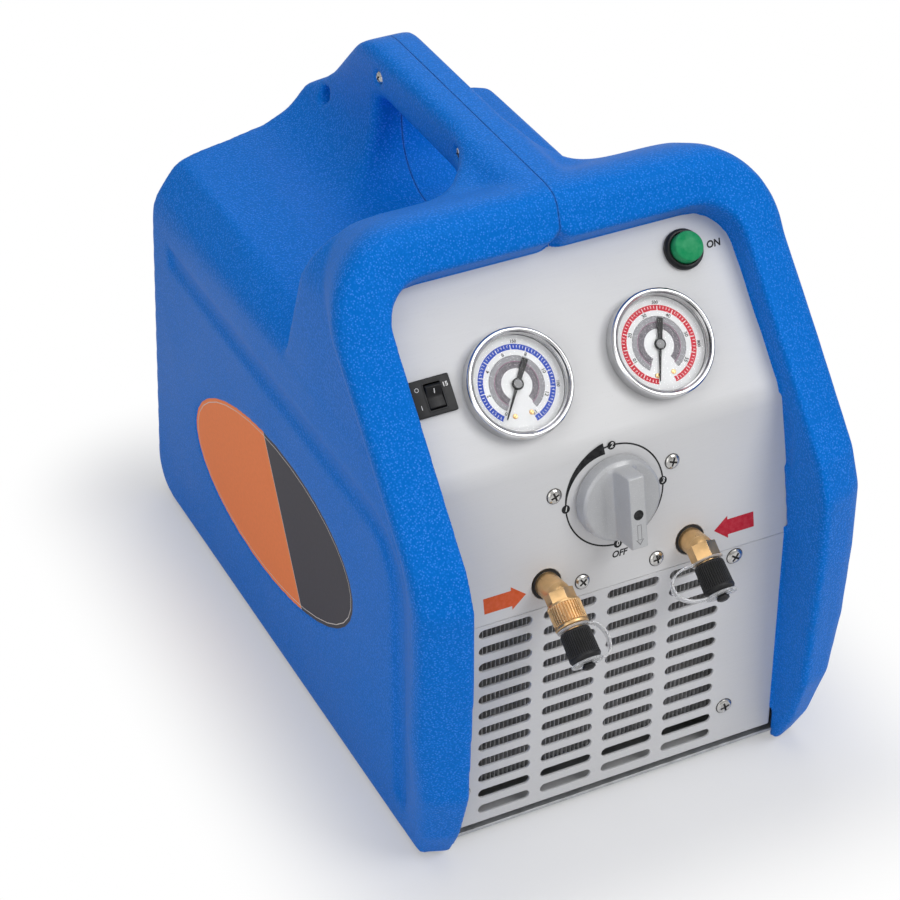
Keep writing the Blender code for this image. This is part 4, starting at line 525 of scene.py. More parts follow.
MAKERS = {
    "finish_shell": shell_plastic,
    "finish_panel": panel_paint,
    "finish_black": black_plastic,
    "finish_rubber": rubber,
    "finish_bright": bright_metal,
    "finish_screw": screw_metal,
    "finish_recess": recess_shade,
    "finish_steel": sheet_steel,
    "finish_brass": brass,
    "finish_knob": knob_plastic,
    "finish_button": button_plastic,
    "finish_dial": dial_card,
    "finish_lens": lens_glass,
    "finish_clear": clear_plastic,
    "finish_copper": copper,
    "finish_cast": cast_metal,
    "finish_fins": fin_metal,
    "finish_motor": motor_paint,
    "finish_capacitor": capacitor_wrap,
    "print_black": ink(tint(26, 26, 28)),
    "print_white": ink(tint(232, 232, 232), 0.95),
    "print_grey": ink(tint(132, 132, 134), 0.95),
    "print_mauve": ink(tint(134, 100, 120)),
    "print_arrow_in": ink("arrow_in", 0.92),
    "print_arrow_out": ink("arrow_out", 0.92),
    "print_label_rear": ink("label_rear", 0.94),
    "print_label_front": ink("label_front", 0.90),
    "scale_low": ink("low_scale", 0.9),
    "scale_high": ink("high_scale", 0.9),
    "print_pale": ink(tint(222, 214, 208), 0.95),
    "scale_pale": scale_ink(tint(132, 132, 136)),
    "scale_dark": scale_ink(tint(98, 94, 100)),
}


def finish_of(name):
    """A material by its name, made when it is first asked for."""
    made = bpy.data.materials.get(name)
    if made is None:
        scene = bpy.context.scene
        made = MAKERS[name](name, scene.machine_colours, scene.machine_sizes)
    return made


# Shapes, each a bmesh in millimetres

def turned(profile, steps=96, closed=False):
    """A profile of radius and height, turned about z."""
    work = bmesh.new()
    points = [work.verts.new((radius, 0.0, height)) for radius, height in profile]
    pairs = list(zip(points, points[1:]))
    if closed:
        pairs.append((points[-1], points[0]))
    edges = [work.edges.new(pair) for pair in pairs]
    bmesh.ops.spin(work, geom=points + edges, cent=(0.0, 0.0, 0.0), axis=(0.0, 0.0, 1.0), angle=2 * pi,
                   steps=steps, use_merge=True)
    bmesh.ops.remove_doubles(work, verts=work.verts, dist=1e-4)
    bmesh.ops.recalc_face_normals(work, faces=work.faces)
    return work


def rounded(corners, closed=True, steps=5):
    """Corners (a, b, radius) as points, each corner rounded to its radius."""
    points = []
    count = len(corners)
    for index, (a, b, radius) in enumerate(corners):
        here = Vector((a, b))
        if radius <= 0.0 or (not closed and index in (0, count - 1)):
            points.append((a, b))
            continue
        before = (Vector(corners[index - 1][:2]) - here).normalized()
        after = (Vector(corners[(index + 1) % count][:2]) - here).normalized()
        half = before.angle(after) / 2
        middle = here + (before + after).normalized() * (radius / sin(half))
        start = here + before * (radius / tan(half)) - middle
        end = here + after * (radius / tan(half)) - middle
        for step in range(steps + 1):
            way = start.lerp(end, step / steps).normalized() * radius
            points.append(tuple(middle + way))
    return points


def lathe(corners, steps):
    """Corners (radius, height, rounding) turned about z, open between the last and the first."""
    return turned(rounded(corners, closed=False), steps)


def oblong(width, height, radius=0.0, x=0.0, y=0.0, steps=5):
    """Outline of a rectangle with round corners."""
    a, b = width / 2, height / 2
    return rounded([(x - a, y - b, radius), (x + a, y - b, radius), (x + a, y + b, radius),
                    (x - a, y + b, radius)], steps=steps)


def ring_points(radius, count, start=0.0):
    """Points on a circle."""
    return [(radius * cos(2 * pi * k / count + start), radius * sin(2 * pi * k / count + start))
            for k in range(count)]


def bevelled(work, edges, size, segments):
    """Rounds some edges of a shape."""
    bmesh.ops.bevel(work, geom=edges, offset=size, offset_type="OFFSET", affect="EDGES", segments=segments,
                    profile=0.5, material=-1, clamp_overlap=True)


def slab(outline, low, high, edge=0.0, segments=3):
    """An outline as a slab, with its upper edges bevelled."""
    work = bmesh.new()
    face = work.faces.new([work.verts.new((x, y, low)) for x, y in outline])
    grown = bmesh.ops.extrude_face_region(work, geom=[face])["geom"]
    top = [part for part in grown if isinstance(part, bmesh.types.BMVert)]
    bmesh.ops.translate(work, verts=top, vec=(0.0, 0.0, high - low))
    bmesh.ops.recalc_face_normals(work, faces=work.faces)
    if edge:
        rim = [e for e in work.edges if all(abs(v.co.z - high) < 1e-6 for v in e.verts)]
        bevelled(work, rim, edge, segments)
    return work


def facing_up(work):
    """The same flat print with every face turned upwards."""
    for face in work.faces:
        if face.normal.z < 0.0:
            face.normal_flip()
    return work


def film(outline, height):
    """An outline as a flat face, for print."""
    work = bmesh.new()
    work.faces.new([work.verts.new((x, y, height)) for x, y in outline])
    bmesh.ops.recalc_face_normals(work, faces=work.faces)
    return facing_up(work)


def loft(rings, capped=True):
    """Rings of points, each with as many points, joined in their order."""
    work = bmesh.new()
    loops = []
    for ring in rings:
        points = [work.verts.new(point) for point in ring]
        loops.append([work.edges.new((points[k - 1], points[k])) for k in range(len(points))])
    for first, second in zip(loops, loops[1:]):
        bmesh.ops.bridge_loops(work, edges=first + second)
    if capped:
        for loop in (loops[0], loops[-1]):
            bmesh.ops.contextual_create(work, geom=loop)
    bmesh.ops.recalc_face_normals(work, faces=work.faces)
    return work


def band(inner, outer, start, end, height, steps):
    """A flat arc between two radii, from one angle to another, counted from up and anticlockwise."""
    work = bmesh.new()
    turn = Matrix.Rotation(radians(start), 4, "Z")
    low, high = (work.verts.new(turn @ Vector((0.0, radius, height))) for radius in (inner, outer))
    edge = work.edges.new((low, high))
    bmesh.ops.spin(work, geom=[low, high, edge], cent=(0.0, 0.0, 0.0), axis=(0.0, 0.0, 1.0),
                   angle=radians(end - start), steps=steps)
    return facing_up(work)


def lettering(words, size, bold=0.0, slant=0.0, lift=0.0):
    """Flat letters as a bmesh in millimetres, centred."""
    curve = bpy.data.curves.new("letters", "FONT")
    curve.body = words
    curve.size = size
    curve.offset = bold
    curve.shear = slant
    curve.align_x = "CENTER"
    curve.align_y = "CENTER"
    curve.resolution_u = 3
    holder = bpy.data.objects.new("letters", curve)
    bpy.context.collection.objects.link(holder)
    work = evaluated(holder)
    bpy.data.objects.remove(holder)
    bpy.data.curves.remove(curve)
    bmesh.ops.translate(work, verts=work.verts, vec=(0.0, 0.0, lift))
    return facing_up(work)


def poured(shape, work):
    """Adds a bmesh to another and frees it."""
    held = bpy.data.meshes.new("poured")
    shape.to_mesh(held)
    shape.free()
    work.from_mesh(held)
    bpy.data.meshes.remove(held)


def evaluated(holder):
    """An object's shape after its modifiers, as a bmesh."""
    bpy.context.view_layer.update()
    mesh = bpy.data.meshes.new_from_object(holder.evaluated_get(bpy.context.evaluated_depsgraph_get()))
    work = bmesh.new()
    work.from_mesh(mesh)
    bpy.data.meshes.remove(mesh)
    return work


def carved(shape, tool):
    """A bmesh with another cut out of it."""
    holders = []
    for work in (shape, tool):
        mesh = bpy.data.meshes.new("carving")
        work.to_mesh(mesh)
        work.free()
        holder = bpy.data.objects.new("carving", mesh)
        bpy.context.collection.objects.link(holder)
        holders.append(holder)
    cut = holders[0].modifiers.new("cut", "BOOLEAN")
    cut.operation = "DIFFERENCE"
    cut.solver = "EXACT"
    cut.object = holders[1]
    result = evaluated(holders[0])
    for holder in holders:
        old = holder.data
        bpy.data.objects.remove(holder)
        bpy.data.meshes.remove(old)
    return result


class Kit:
    """Gathers shapes into one piece."""

    def __init__(self, *paints):
        self.mesh = bpy.data.meshes.new("piece")
        self.work = bmesh.new()
        self.paints = paints

    def add(self, shape, place=None, paint=0):
        """Adds a shape in millimetres at a place in metres."""
        if paint is not None:
            for face in shape.faces:
                face.material_index = paint
        bmesh.ops.transform(shape, matrix=(place or Matrix.Identity(4)) @ METRES, verts=shape.verts)
        poured(shape, self.work)
        return self

    def piece(self, name, slot, body="machine", replaces=(), angle=32.0):
        """Finishes the piece, which then rides on its body."""
        self.mesh.name = name
        self.work.to_mesh(self.mesh)
        self.work.free()
        self.mesh.shade_smooth()
        self.mesh.set_sharp_from_angle(angle=radians(angle))
        made = bpy.data.objects.new(name, self.mesh)
        bpy.context.scene.collection.objects.link(made)
        for paint in self.paints:
            self.mesh.materials.append(finish_of(paint))
        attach(made, body)
        if replaces:
            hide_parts(*replaces)
        return made


def dress(paint, *nodes):
    """Gives CAD nodes that stay a better material."""
    for node in nodes:
        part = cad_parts[node]
        if not part.material_slots:
            part.data.materials.append(finish_of(paint))
        for holder in part.material_slots:
            holder.material = finish_of(paint)


def remade(node):
    """A CAD node's mesh, merged and with its flat faces whole again, as a bmesh in metres."""
    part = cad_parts[node]
    work = bmesh.new()
    work.from_mesh(part.data)
    bmesh.ops.transform(work, matrix=part.matrix_world, verts=work.verts)
    bmesh.ops.remove_doubles(work, verts=work.verts, dist=2e-6)
    bmesh.ops.dissolve_limit(work, angle_limit=radians(0.6), verts=work.verts, edges=work.edges)
    for face in work.faces:
        face.material_index = 0
    return work


def clad(node, name, paints, slot, body="machine", angle=32.0, change=None):
    """Replaces a CAD node by its own shape with smooth shading, and with a change where one is given."""
    work = remade(node)
    if change:
        change(work)
    bmesh.ops.scale(work, vec=(1 / MM, 1 / MM, 1 / MM), verts=work.verts)
    kit = Kit(*paints)
    kit.add(work, paint=None)
    return kit.piece(name, slot, body, (node,), angle)


# Operators

class MACHINE_OT_stage(bpy.types.Operator):
    """Sets the camera, the floor and the lamps"""

    bl_idname = "machine.stage"
    bl_label = "Stage"

    # The photo's camera: turn and rise about the machine, roll, and the point it looks at
    TURN, RISE, ROLL = radians(26.043), radians(35.557), -0.0029
    AIM = Vector((1.333 * MM, 40.486 * MM, 103.855 * MM))
    DISTANCE = 1.6879
    FOCAL_LENGTH = 112.0

    # Lamps: name, place, size in metres, watts
    LAMPS = (("key", (0.95, -1.35, 1.75), 1.1, 20.0), ("top", (0.0, 0.1, 2.2), 1.6, 11.0),
             ("fill", (-1.5, -1.2, 0.9), 1.6, 11.0), ("rim", (0.5, 1.5, 1.5), 1.4, 6.0))
    LIT_HEIGHT = 0.15

    # The floor shows its shadow over the footprint, and turns white within FADE metres of it
    FOOTPRINT = (0.12, 0.21, 0.0)
    FADE = 0.11
    SHADOW_SHARE = 0.30
    SKY_LIGHT = 0.30
    FLOOR_MIRRORED, SKY_MIRRORED = 0.4, 0.35

    def execute(self, context):
        scene = context.scene
        scene.view_settings.view_transform = "Standard"
        back = Vector((-sin(self.TURN) * cos(self.RISE), -cos(self.TURN) * cos(self.RISE), sin(self.RISE)))
        lens = bpy.data.cameras.new("view")
        lens.lens = self.FOCAL_LENGTH
        lens.sensor_width = 36.0
        lens.clip_start = 0.05
        camera = bpy.data.objects.new("view", lens)
        facing = back.to_track_quat("Z", "Y").to_matrix() @ Matrix.Rotation(self.ROLL, 3, "Z")
        camera.matrix_world = Matrix.Translation(self.AIM + back * self.DISTANCE) @ facing.to_4x4()
        scene.collection.objects.link(camera)
        scene.camera = camera
        self.floor(scene)
        self.world(scene)
        for lamp in self.LAMPS:
            self.lamp(scene, *lamp)
        return {"FINISHED"}

    def lamp(self, scene, name, place, size, watts):
        """A soft square lamp that faces the machine."""
        light = bpy.data.lights.new(name, "AREA")
        light.shape = "SQUARE"
        light.size = size
        light.energy = watts
        lamp = bpy.data.objects.new(name, light)
        way = Vector(place) - Vector((0.0, 0.0, self.LIT_HEIGHT))
        lamp.matrix_world = Matrix.Translation(place) @ way.to_track_quat("Z", "Y").to_matrix().to_4x4()
        scene.collection.objects.link(lamp)

    def floor(self, scene):
        """A pale floor that keeps the soft shadow."""
        work = bmesh.new()
        bmesh.ops.create_grid(work, x_segments=8, y_segments=8, size=6.0)
        mesh = bpy.data.meshes.new("floor")
        work.to_mesh(mesh)
        work.free()
        floor = bpy.data.objects.new("floor", mesh)
        scene.collection.objects.link(floor)
        paper = Paint("floor", Base_Color=(0.80, 0.80, 0.81, 1.0), Roughness=0.9, Specular_IOR_Level=0.1)
        away = paper.vector("SUBTRACT", paper.vector("ABSOLUTE", paper.where), self.FOOTPRINT)
        away = paper.vector("LENGTH", paper.vector("MAXIMUM", away, (0.0, 0.0, 0.0)))
        white = paper.remap(away, 0.0, self.FADE, self.SHADOW_SHARE, 1.0, smooth=True)
        glow = paper.nodes.new("ShaderNodeEmission")
        glow.inputs["Color"].default_value = (1.0, 1.0, 1.0, 1.0)
        both = paper.nodes.new("ShaderNodeMixShader")
        paper.feed(both.inputs[0], paper.calc("MULTIPLY", paper.seen(self.FLOOR_MIRRORED), white))
        paper.feed(both.inputs[1], paper.shader.outputs[0])
        paper.feed(both.inputs[2], glow.outputs[0])
        paper.feed(paper.nodes["Material Output"].inputs["Surface"], both.outputs[0])
        mesh.materials.append(paper.material)

    def world(self, scene):
        """A white background and a plain sky light."""
        world = bpy.data.worlds.new("studio")
        tree = Tree(world)
        sky = tree.nodes["Background"]
        sky.inputs["Color"].default_value = (1.0, 1.0, 1.0, 1.0)
        strength = tree.remap(tree.seen(self.SKY_MIRRORED), 0.0, 1.0, self.SKY_LIGHT, 1.0)
        tree.feed(sky.inputs["Strength"], strength)
        scene.world = world


class MACHINE_OT_shells(bpy.types.Operator):
    """Makes the two halves of the moulded shell, with their soft edges, and the feet"""

    bl_idname = "machine.shells"
    bl_label = "Shells"

    # Millimetres: mesh size, half the gap between the halves, and how near another piece a point stays put
    VOXEL = 1.75
    SEAM = 0.22
    FITTED = 3.0

    # Rise of the top at a distance from the middle plane
    LIFT = ((46.0, 0.0), (64.0, -0.5), (70.0, 1.7), (76.0, 4.0), (82.0, 6.4), (94.0, 7.2), (103.5, 12.8),
            (112.0, 9.3), (118.0, 6.7), (124.0, 4.5), (140.0, 4.5))

    # Strips that close the shells onto the panels, as (y, z): beside the leaning face and beside the lower,
    # and the arch round the leaning face, as (x, up, radius) on it
    CHEEK = ((-174.0, 157.5), (-166.0, 157.5), (-160.4, 187.0), (-153.7, 222.0), (-148.0, 232.0),
             (-162.0, 236.0), (-173.0, 226.0))
    CHEEK_LOW, CHEEK_TALL = 157.5, 78.5
    CHEEK_INSIDE, CHEEK_LEAN, CHEEK_OUTSIDE = 107.0, 2.6, 114.0
    ARCH = ((-110.0, 0.0, 0.0), (-102.0, 0.0, 0.0), (-102.0, 104.0, 20.0), (102.0, 104.0, 20.0),
            (102.0, 0.0, 0.0), (110.0, 0.0, 0.0), (110.0, 112.0, 28.0), (-110.0, 112.0, 28.0))
    JAMB = ((-168.9, 24.0), (-164.0, 24.0), (-164.0, 154.0), (-168.9, 154.0))
    JAMB_MIDDLE, JAMB_HALF = 105.5, 4.5

    def joined(self):
        """Both shells and their strips as one fine even mesh."""
        whole = bmesh.new()
        for side in ("left", "right"):
            poured(remade(side + "_shell"), whole)
        solids = []
        for side in (-1.0, 1.0):
            ends = sorted((side * (self.CHEEK_INSIDE - self.CHEEK_LEAN), side * self.CHEEK_OUTSIDE))
            cheek = slab(self.CHEEK, *ends)
            for vert in cheek.verts:
                if abs(vert.co.z) < self.CHEEK_INSIDE:
                    up = (vert.co.y - self.CHEEK_LOW) / self.CHEEK_TALL
                    vert.co.z = side * (self.CHEEK_INSIDE - self.CHEEK_LEAN * up)
            solids.append((cheek, ACROSS))
        solids.append((slab(rounded(self.ARCH), -6.0, -1.6), UPPER))
        for middle in (-self.JAMB_MIDDLE, self.JAMB_MIDDLE):
            solids.append((slab(self.JAMB, middle - self.JAMB_HALF, middle + self.JAMB_HALF), ACROSS))
        for solid, place in solids:
            bmesh.ops.transform(solid, matrix=place @ METRES, verts=solid.verts)
            poured(solid, whole)
        mesh = bpy.data.meshes.new("moulding")
        whole.to_mesh(mesh)
        whole.free()
        holder = bpy.data.objects.new("moulding", mesh)
        bpy.context.scene.collection.objects.link(holder)
        even = holder.modifiers.new("even", "REMESH")
        even.mode = "VOXEL"
        even.voxel_size = self.VOXEL * MM
        work = evaluated(holder)
        bpy.data.objects.remove(holder)
        bpy.data.meshes.remove(mesh)
        return work

    @staticmethod
    def by_hole(place):
        """True beside one of the holes, whose rims stay crisp."""
        for y, z, radius in HOLES:
            if (place.y - y * MM) ** 2 + (place.z - z * MM) ** 2 < ((radius + 2.4) * MM) ** 2:
                return True
        return False

    @classmethod
    def lifted(cls, work):
        """Straightens the top between its two shoulders and lifts it to the shoulders' sloping facets."""
        for vert in work.verts:
            x, y, z = abs(vert.co.x) / MM, vert.co.y / MM, vert.co.z / MM
            share = min(max((z - 214.0) / 14.0, 0.0), 1.0) * min(max((y + 30.0) / 30.0, 0.0), 1.0)
            if share <= 0.0 or x < cls.LIFT[0][0]:
                continue
            share *= 0.35 + 0.65 * min(max(y / 196.0, 0.0), 1.0)
            for (near, low), (far, high) in zip(cls.LIFT, cls.LIFT[1:]):
                if near <= x <= far:
                    vert.co.z += share * (low + (high - low) * (x - near) / (far - near)) * MM
                    break

    @classmethod
    def softened(cls, work):
        """Rounds the edges and the saddle beside the handle, but not where another piece fits."""
        near = bmesh.new()
        for node in ("control_panel", "grille_panel", "rear_panel", "base_plate", "side_inlay"):
            poured(remade(node), near)
        tree = BVHTree.FromBMesh(near)
        near.free()
        free = [v for v in work.verts if tree.find_nearest(v.co, cls.FITTED * MM)[0] is None]
        rims = [v for v in free if cls.by_hole(v.co)]
        held_back = set(rims)
        free = [v for v in free if v not in held_back]
        top = [v for v in free if v.co.z > 0.243 and -0.088 < v.co.y < 0.187]
        valley = [v for v in top if 0.030 < abs(v.co.x) < 0.092]
        saddle = [v for v in top if abs(v.co.x) < 0.097]
        crest = [v for v in free if v.co.z > 0.215 and v.co.y > 0.185]
        for verts, times in ((valley, 50), (saddle, 12), (crest, 8), (free, 6), (free + rims, 2)):
            for _ in range(times):
                bmesh.ops.smooth_vert(work, verts=verts, factor=0.5, use_axis_x=True, use_axis_y=True,
                                      use_axis_z=True)

    @staticmethod
    def notched(work):
        """Draws the lip above the panel up into a small notch where the two halves meet."""
        inward = UPPER.inverted()
        for vert in work.verts:
            near = 1.0 - abs(vert.co.x) / (8.5 * MM)
            if near <= 0.0:
                continue
            place = inward @ vert.co
            along = 1.0 - (place.y / MM - 107.0) / 18.0
            if place.z > -0.4 * MM and 0.0 < along < 1.3:
                place.y += 5.0 * MM * near ** 2 * min(along, 1.0)
                vert.co = UPPER @ place

    def execute(self, context):
        work = self.joined()
        self.lifted(work)
        self.softened(work)
        self.notched(work)
        mesh = bpy.data.meshes.new("moulding")
        work.to_mesh(mesh)
        work.free()
        for side, name in ((-1.0, "left"), (1.0, "right")):
            half = bmesh.new()
            half.from_mesh(mesh)
            everything = half.verts[:] + half.edges[:] + half.faces[:]
            cut = bmesh.ops.bisect_plane(half, geom=everything, plane_co=(side * self.SEAM * MM, 0.0, 0.0),
                                         plane_no=(-side, 0.0, 0.0), clear_outer=True)
            rim = [e for e in cut["geom_cut"] if isinstance(e, bmesh.types.BMEdge)]
            bmesh.ops.triangle_fill(half, edges=rim, use_beauty=True)
            bmesh.ops.scale(half, vec=(1 / MM, 1 / MM, 1 / MM), verts=half.verts)
            kit = Kit("finish_shell")
            kit.add(half)
            kit.piece(name + "_moulding", "shell_blue", replaces=(name + "_shell",), angle=50.0)
        bpy.data.meshes.remove(mesh)
        for end in ("front", "rear"):
            for side in ("left", "right"):
                low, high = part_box("foot_%s_%s" % (end, side))
                middle = (low + high) / 2
                tall = (high.z - low.z) / MM
                foot = lathe([(0.0, 0.0, 0.0), (9.6, 0.0, 0.9), (11.0, tall, 0.6), (0.0, tall, 0.0)], 48)
                Kit("finish_rubber").add(foot, Matrix.Translation((middle.x, middle.y, low.z))).piece(
                    "rubber_foot_%s_%s" % (end, side), "rubber", replaces=("foot_%s_%s" % (end, side),))
        return {"FINISHED"}


class MACHINE_OT_sheet_metal(bpy.types.Operator):
    """Makes the folded control panel, the grille and the rear panel"""

    bl_idname = "machine.sheet_metal"
    bl_label = "Sheet metal"

    # Slots and vents in millimetres: width, height and corner, place of the first, and steps
    SLOT, FIRST_SLOT, SLOT_STEPS = (32.0, 6.2, 3.09), (-69.0, 20.8), (38.7, 11.3)
    VENT, FIRST_VENT, VENT_STEPS = (40.0, 5.4, 2.69), (-47.0, 96.0 - REAR_MIDDLE), (47.0, 11.5)
    INLET_HOLE = (28.6, 20.6, 0.5, -50.0, 55.0 - REAR_MIDDLE)

    @staticmethod
    def bend(work):
        """Rounds the fold between the two faces of the control panel."""
        near = 2.5 * MM
        fold = [edge for edge in work.edges
                if all(abs(v.co.y - FOLD_Y) < near and abs(v.co.z - FOLD_Z) < near for v in edge.verts)
                and abs(edge.verts[0].co.x - edge.verts[1].co.x) > 20 * MM]
        bevelled(work, fold, 6 * MM, 8)

    @staticmethod
    def vented(outline, holes, thick=1.5):
        """A plate with holes through it, its outer face at zero."""
        cutter = bmesh.new()
        for hole in holes:
            poured(slab(hole, -thick - 2.0, 2.0), cutter)
        return carved(slab(outline, -thick, 0.0), cutter)

    @staticmethod
    def openings(size, first, steps, columns, rows, curve):
        """Outlines of slots in columns and rows."""
        return [oblong(*size, first[0] + steps[0] * column, first[1] + steps[1] * row, curve)
                for column in range(columns) for row in range(rows)]

    def execute(self, context):
        clad("control_panel", "folded_panel", ["finish_panel"], "panel_metal", angle=25.0, change=self.bend)
        low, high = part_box("grille_panel")
        wide, tall = (high.x - low.x) / MM, (high.z - low.z) / MM
        middle = (low.z + high.z) / 2 / MM
        slots = self.openings(self.SLOT, self.FIRST_SLOT, self.SLOT_STEPS, 4, 12, 8)
        front = Matrix.Translation((0.0, low.y, 0.0)) @ Matrix.Rotation(pi / 2, 4, "X")
        flange = carved(slab(oblong(wide, tall, 0.0, 0.0, middle), -12.0, -1.2),
                        slab(oblong(wide - 3.0, tall - 3.0, 0.0, 0.0, middle), -14.0, 1.0))
        kit = Kit("finish_panel")
        kit.add(self.vented(oblong(wide, tall, 1.0, 0.0, middle), slots), front).add(flange, front)
        kit.piece("slotted_grille", "panel_metal", replaces=("grille_panel",))
        holes = self.openings(self.VENT, self.FIRST_VENT, self.VENT_STEPS, 3, 9, 7)
        holes.append(oblong(*self.INLET_HOLE))
        Kit("finish_panel").add(self.vented(oblong(176.0, 192.0, 6.0), holes), REAR).piece(
            "rear_plate", "panel_metal", replaces=("rear_panel",))
        dress("finish_steel", "base_plate")
        return {"FINISHED"}


class MACHINE_OT_panel_print(bpy.types.Operator):
    """Prints the selector ring, the digits and the arrows"""

    bl_idname = "machine.panel_print"
    bl_label = "Panel print"

    # The wedge that swells along the ring: first angle, sweep, and widths at both ends
    WEDGE_START, WEDGE_SWEEP = 104.0, 95.0
    WEDGE_THIN, WEDGE_SWELL = 0.2, 2.8
    WEDGE_STEPS = 40
    INK = 0.06
    POSITIONS = (("0", 180.0), ("1", 90.0), ("2", 0.0), ("3", -90.0))
    ARROW = ((0.0, 0.0), (8.6, 6.8), (8.6, 4.6), (25.0, 4.6), (25.0, -4.6), (8.6, -4.6), (8.6, -6.8))

    def execute(self, context):
        ring = context.scene.machine_sizes.ring_radius / MM
        dial = spot(MIDDLE, 0.0, KNOB_UP, self.INK)
        kit = Kit("print_black", "print_white", "print_arrow_in", "print_arrow_out")
        kit.add(band(ring - 0.45, ring + 0.45, 0.0, 360.0, 0.0, 120), dial)
        outer, inner = [], []
        for step in range(self.WEDGE_STEPS + 1):
            share = step / self.WEDGE_STEPS
            angle = radians(self.WEDGE_START - share * self.WEDGE_SWEEP)
            wide = self.WEDGE_THIN + self.WEDGE_SWELL * share ** 1.6
            outer.append((-(ring + wide) * sin(angle), (ring + wide) * cos(angle)))
            inner.append((-(ring - wide * 1.28) * sin(angle), (ring - wide * 1.28) * cos(angle)))
        kit.add(film(outer + inner[::-1], 0.03), dial)
        for digit, angle in self.POSITIONS:
            x, y = -ring * sin(radians(angle)), ring * cos(radians(angle))
            at = dial @ Matrix.Translation((x * MM, y * MM, 0.0))
            kit.add(film(ring_points(2.45, 40), 0.06), at)
            kit.add(lettering(digit, 4.0, 0.06, 0.25, 0.10), at, 1)
        kit.add(lettering("OFF", 5.2, 0.17, 0.25), spot(MIDDLE, 0.4, -68.0, self.INK))
        kit.add(lettering("ON", 5.4, 0.19, 0.25), spot(UPPER, 92.5, 86.0, self.INK))
        kit.add(film(self.ARROW, 0.0), spot(MIDDLE, 59.0, -72.3, self.INK), 3)
        kit.add(film([(-x, y) for x, y in self.ARROW], 0.0), spot(MIDDLE, -56.2, -75.0, self.INK), 2)
        kit.piece("panel_print", "black_plastic")
        return {"FINISHED"}


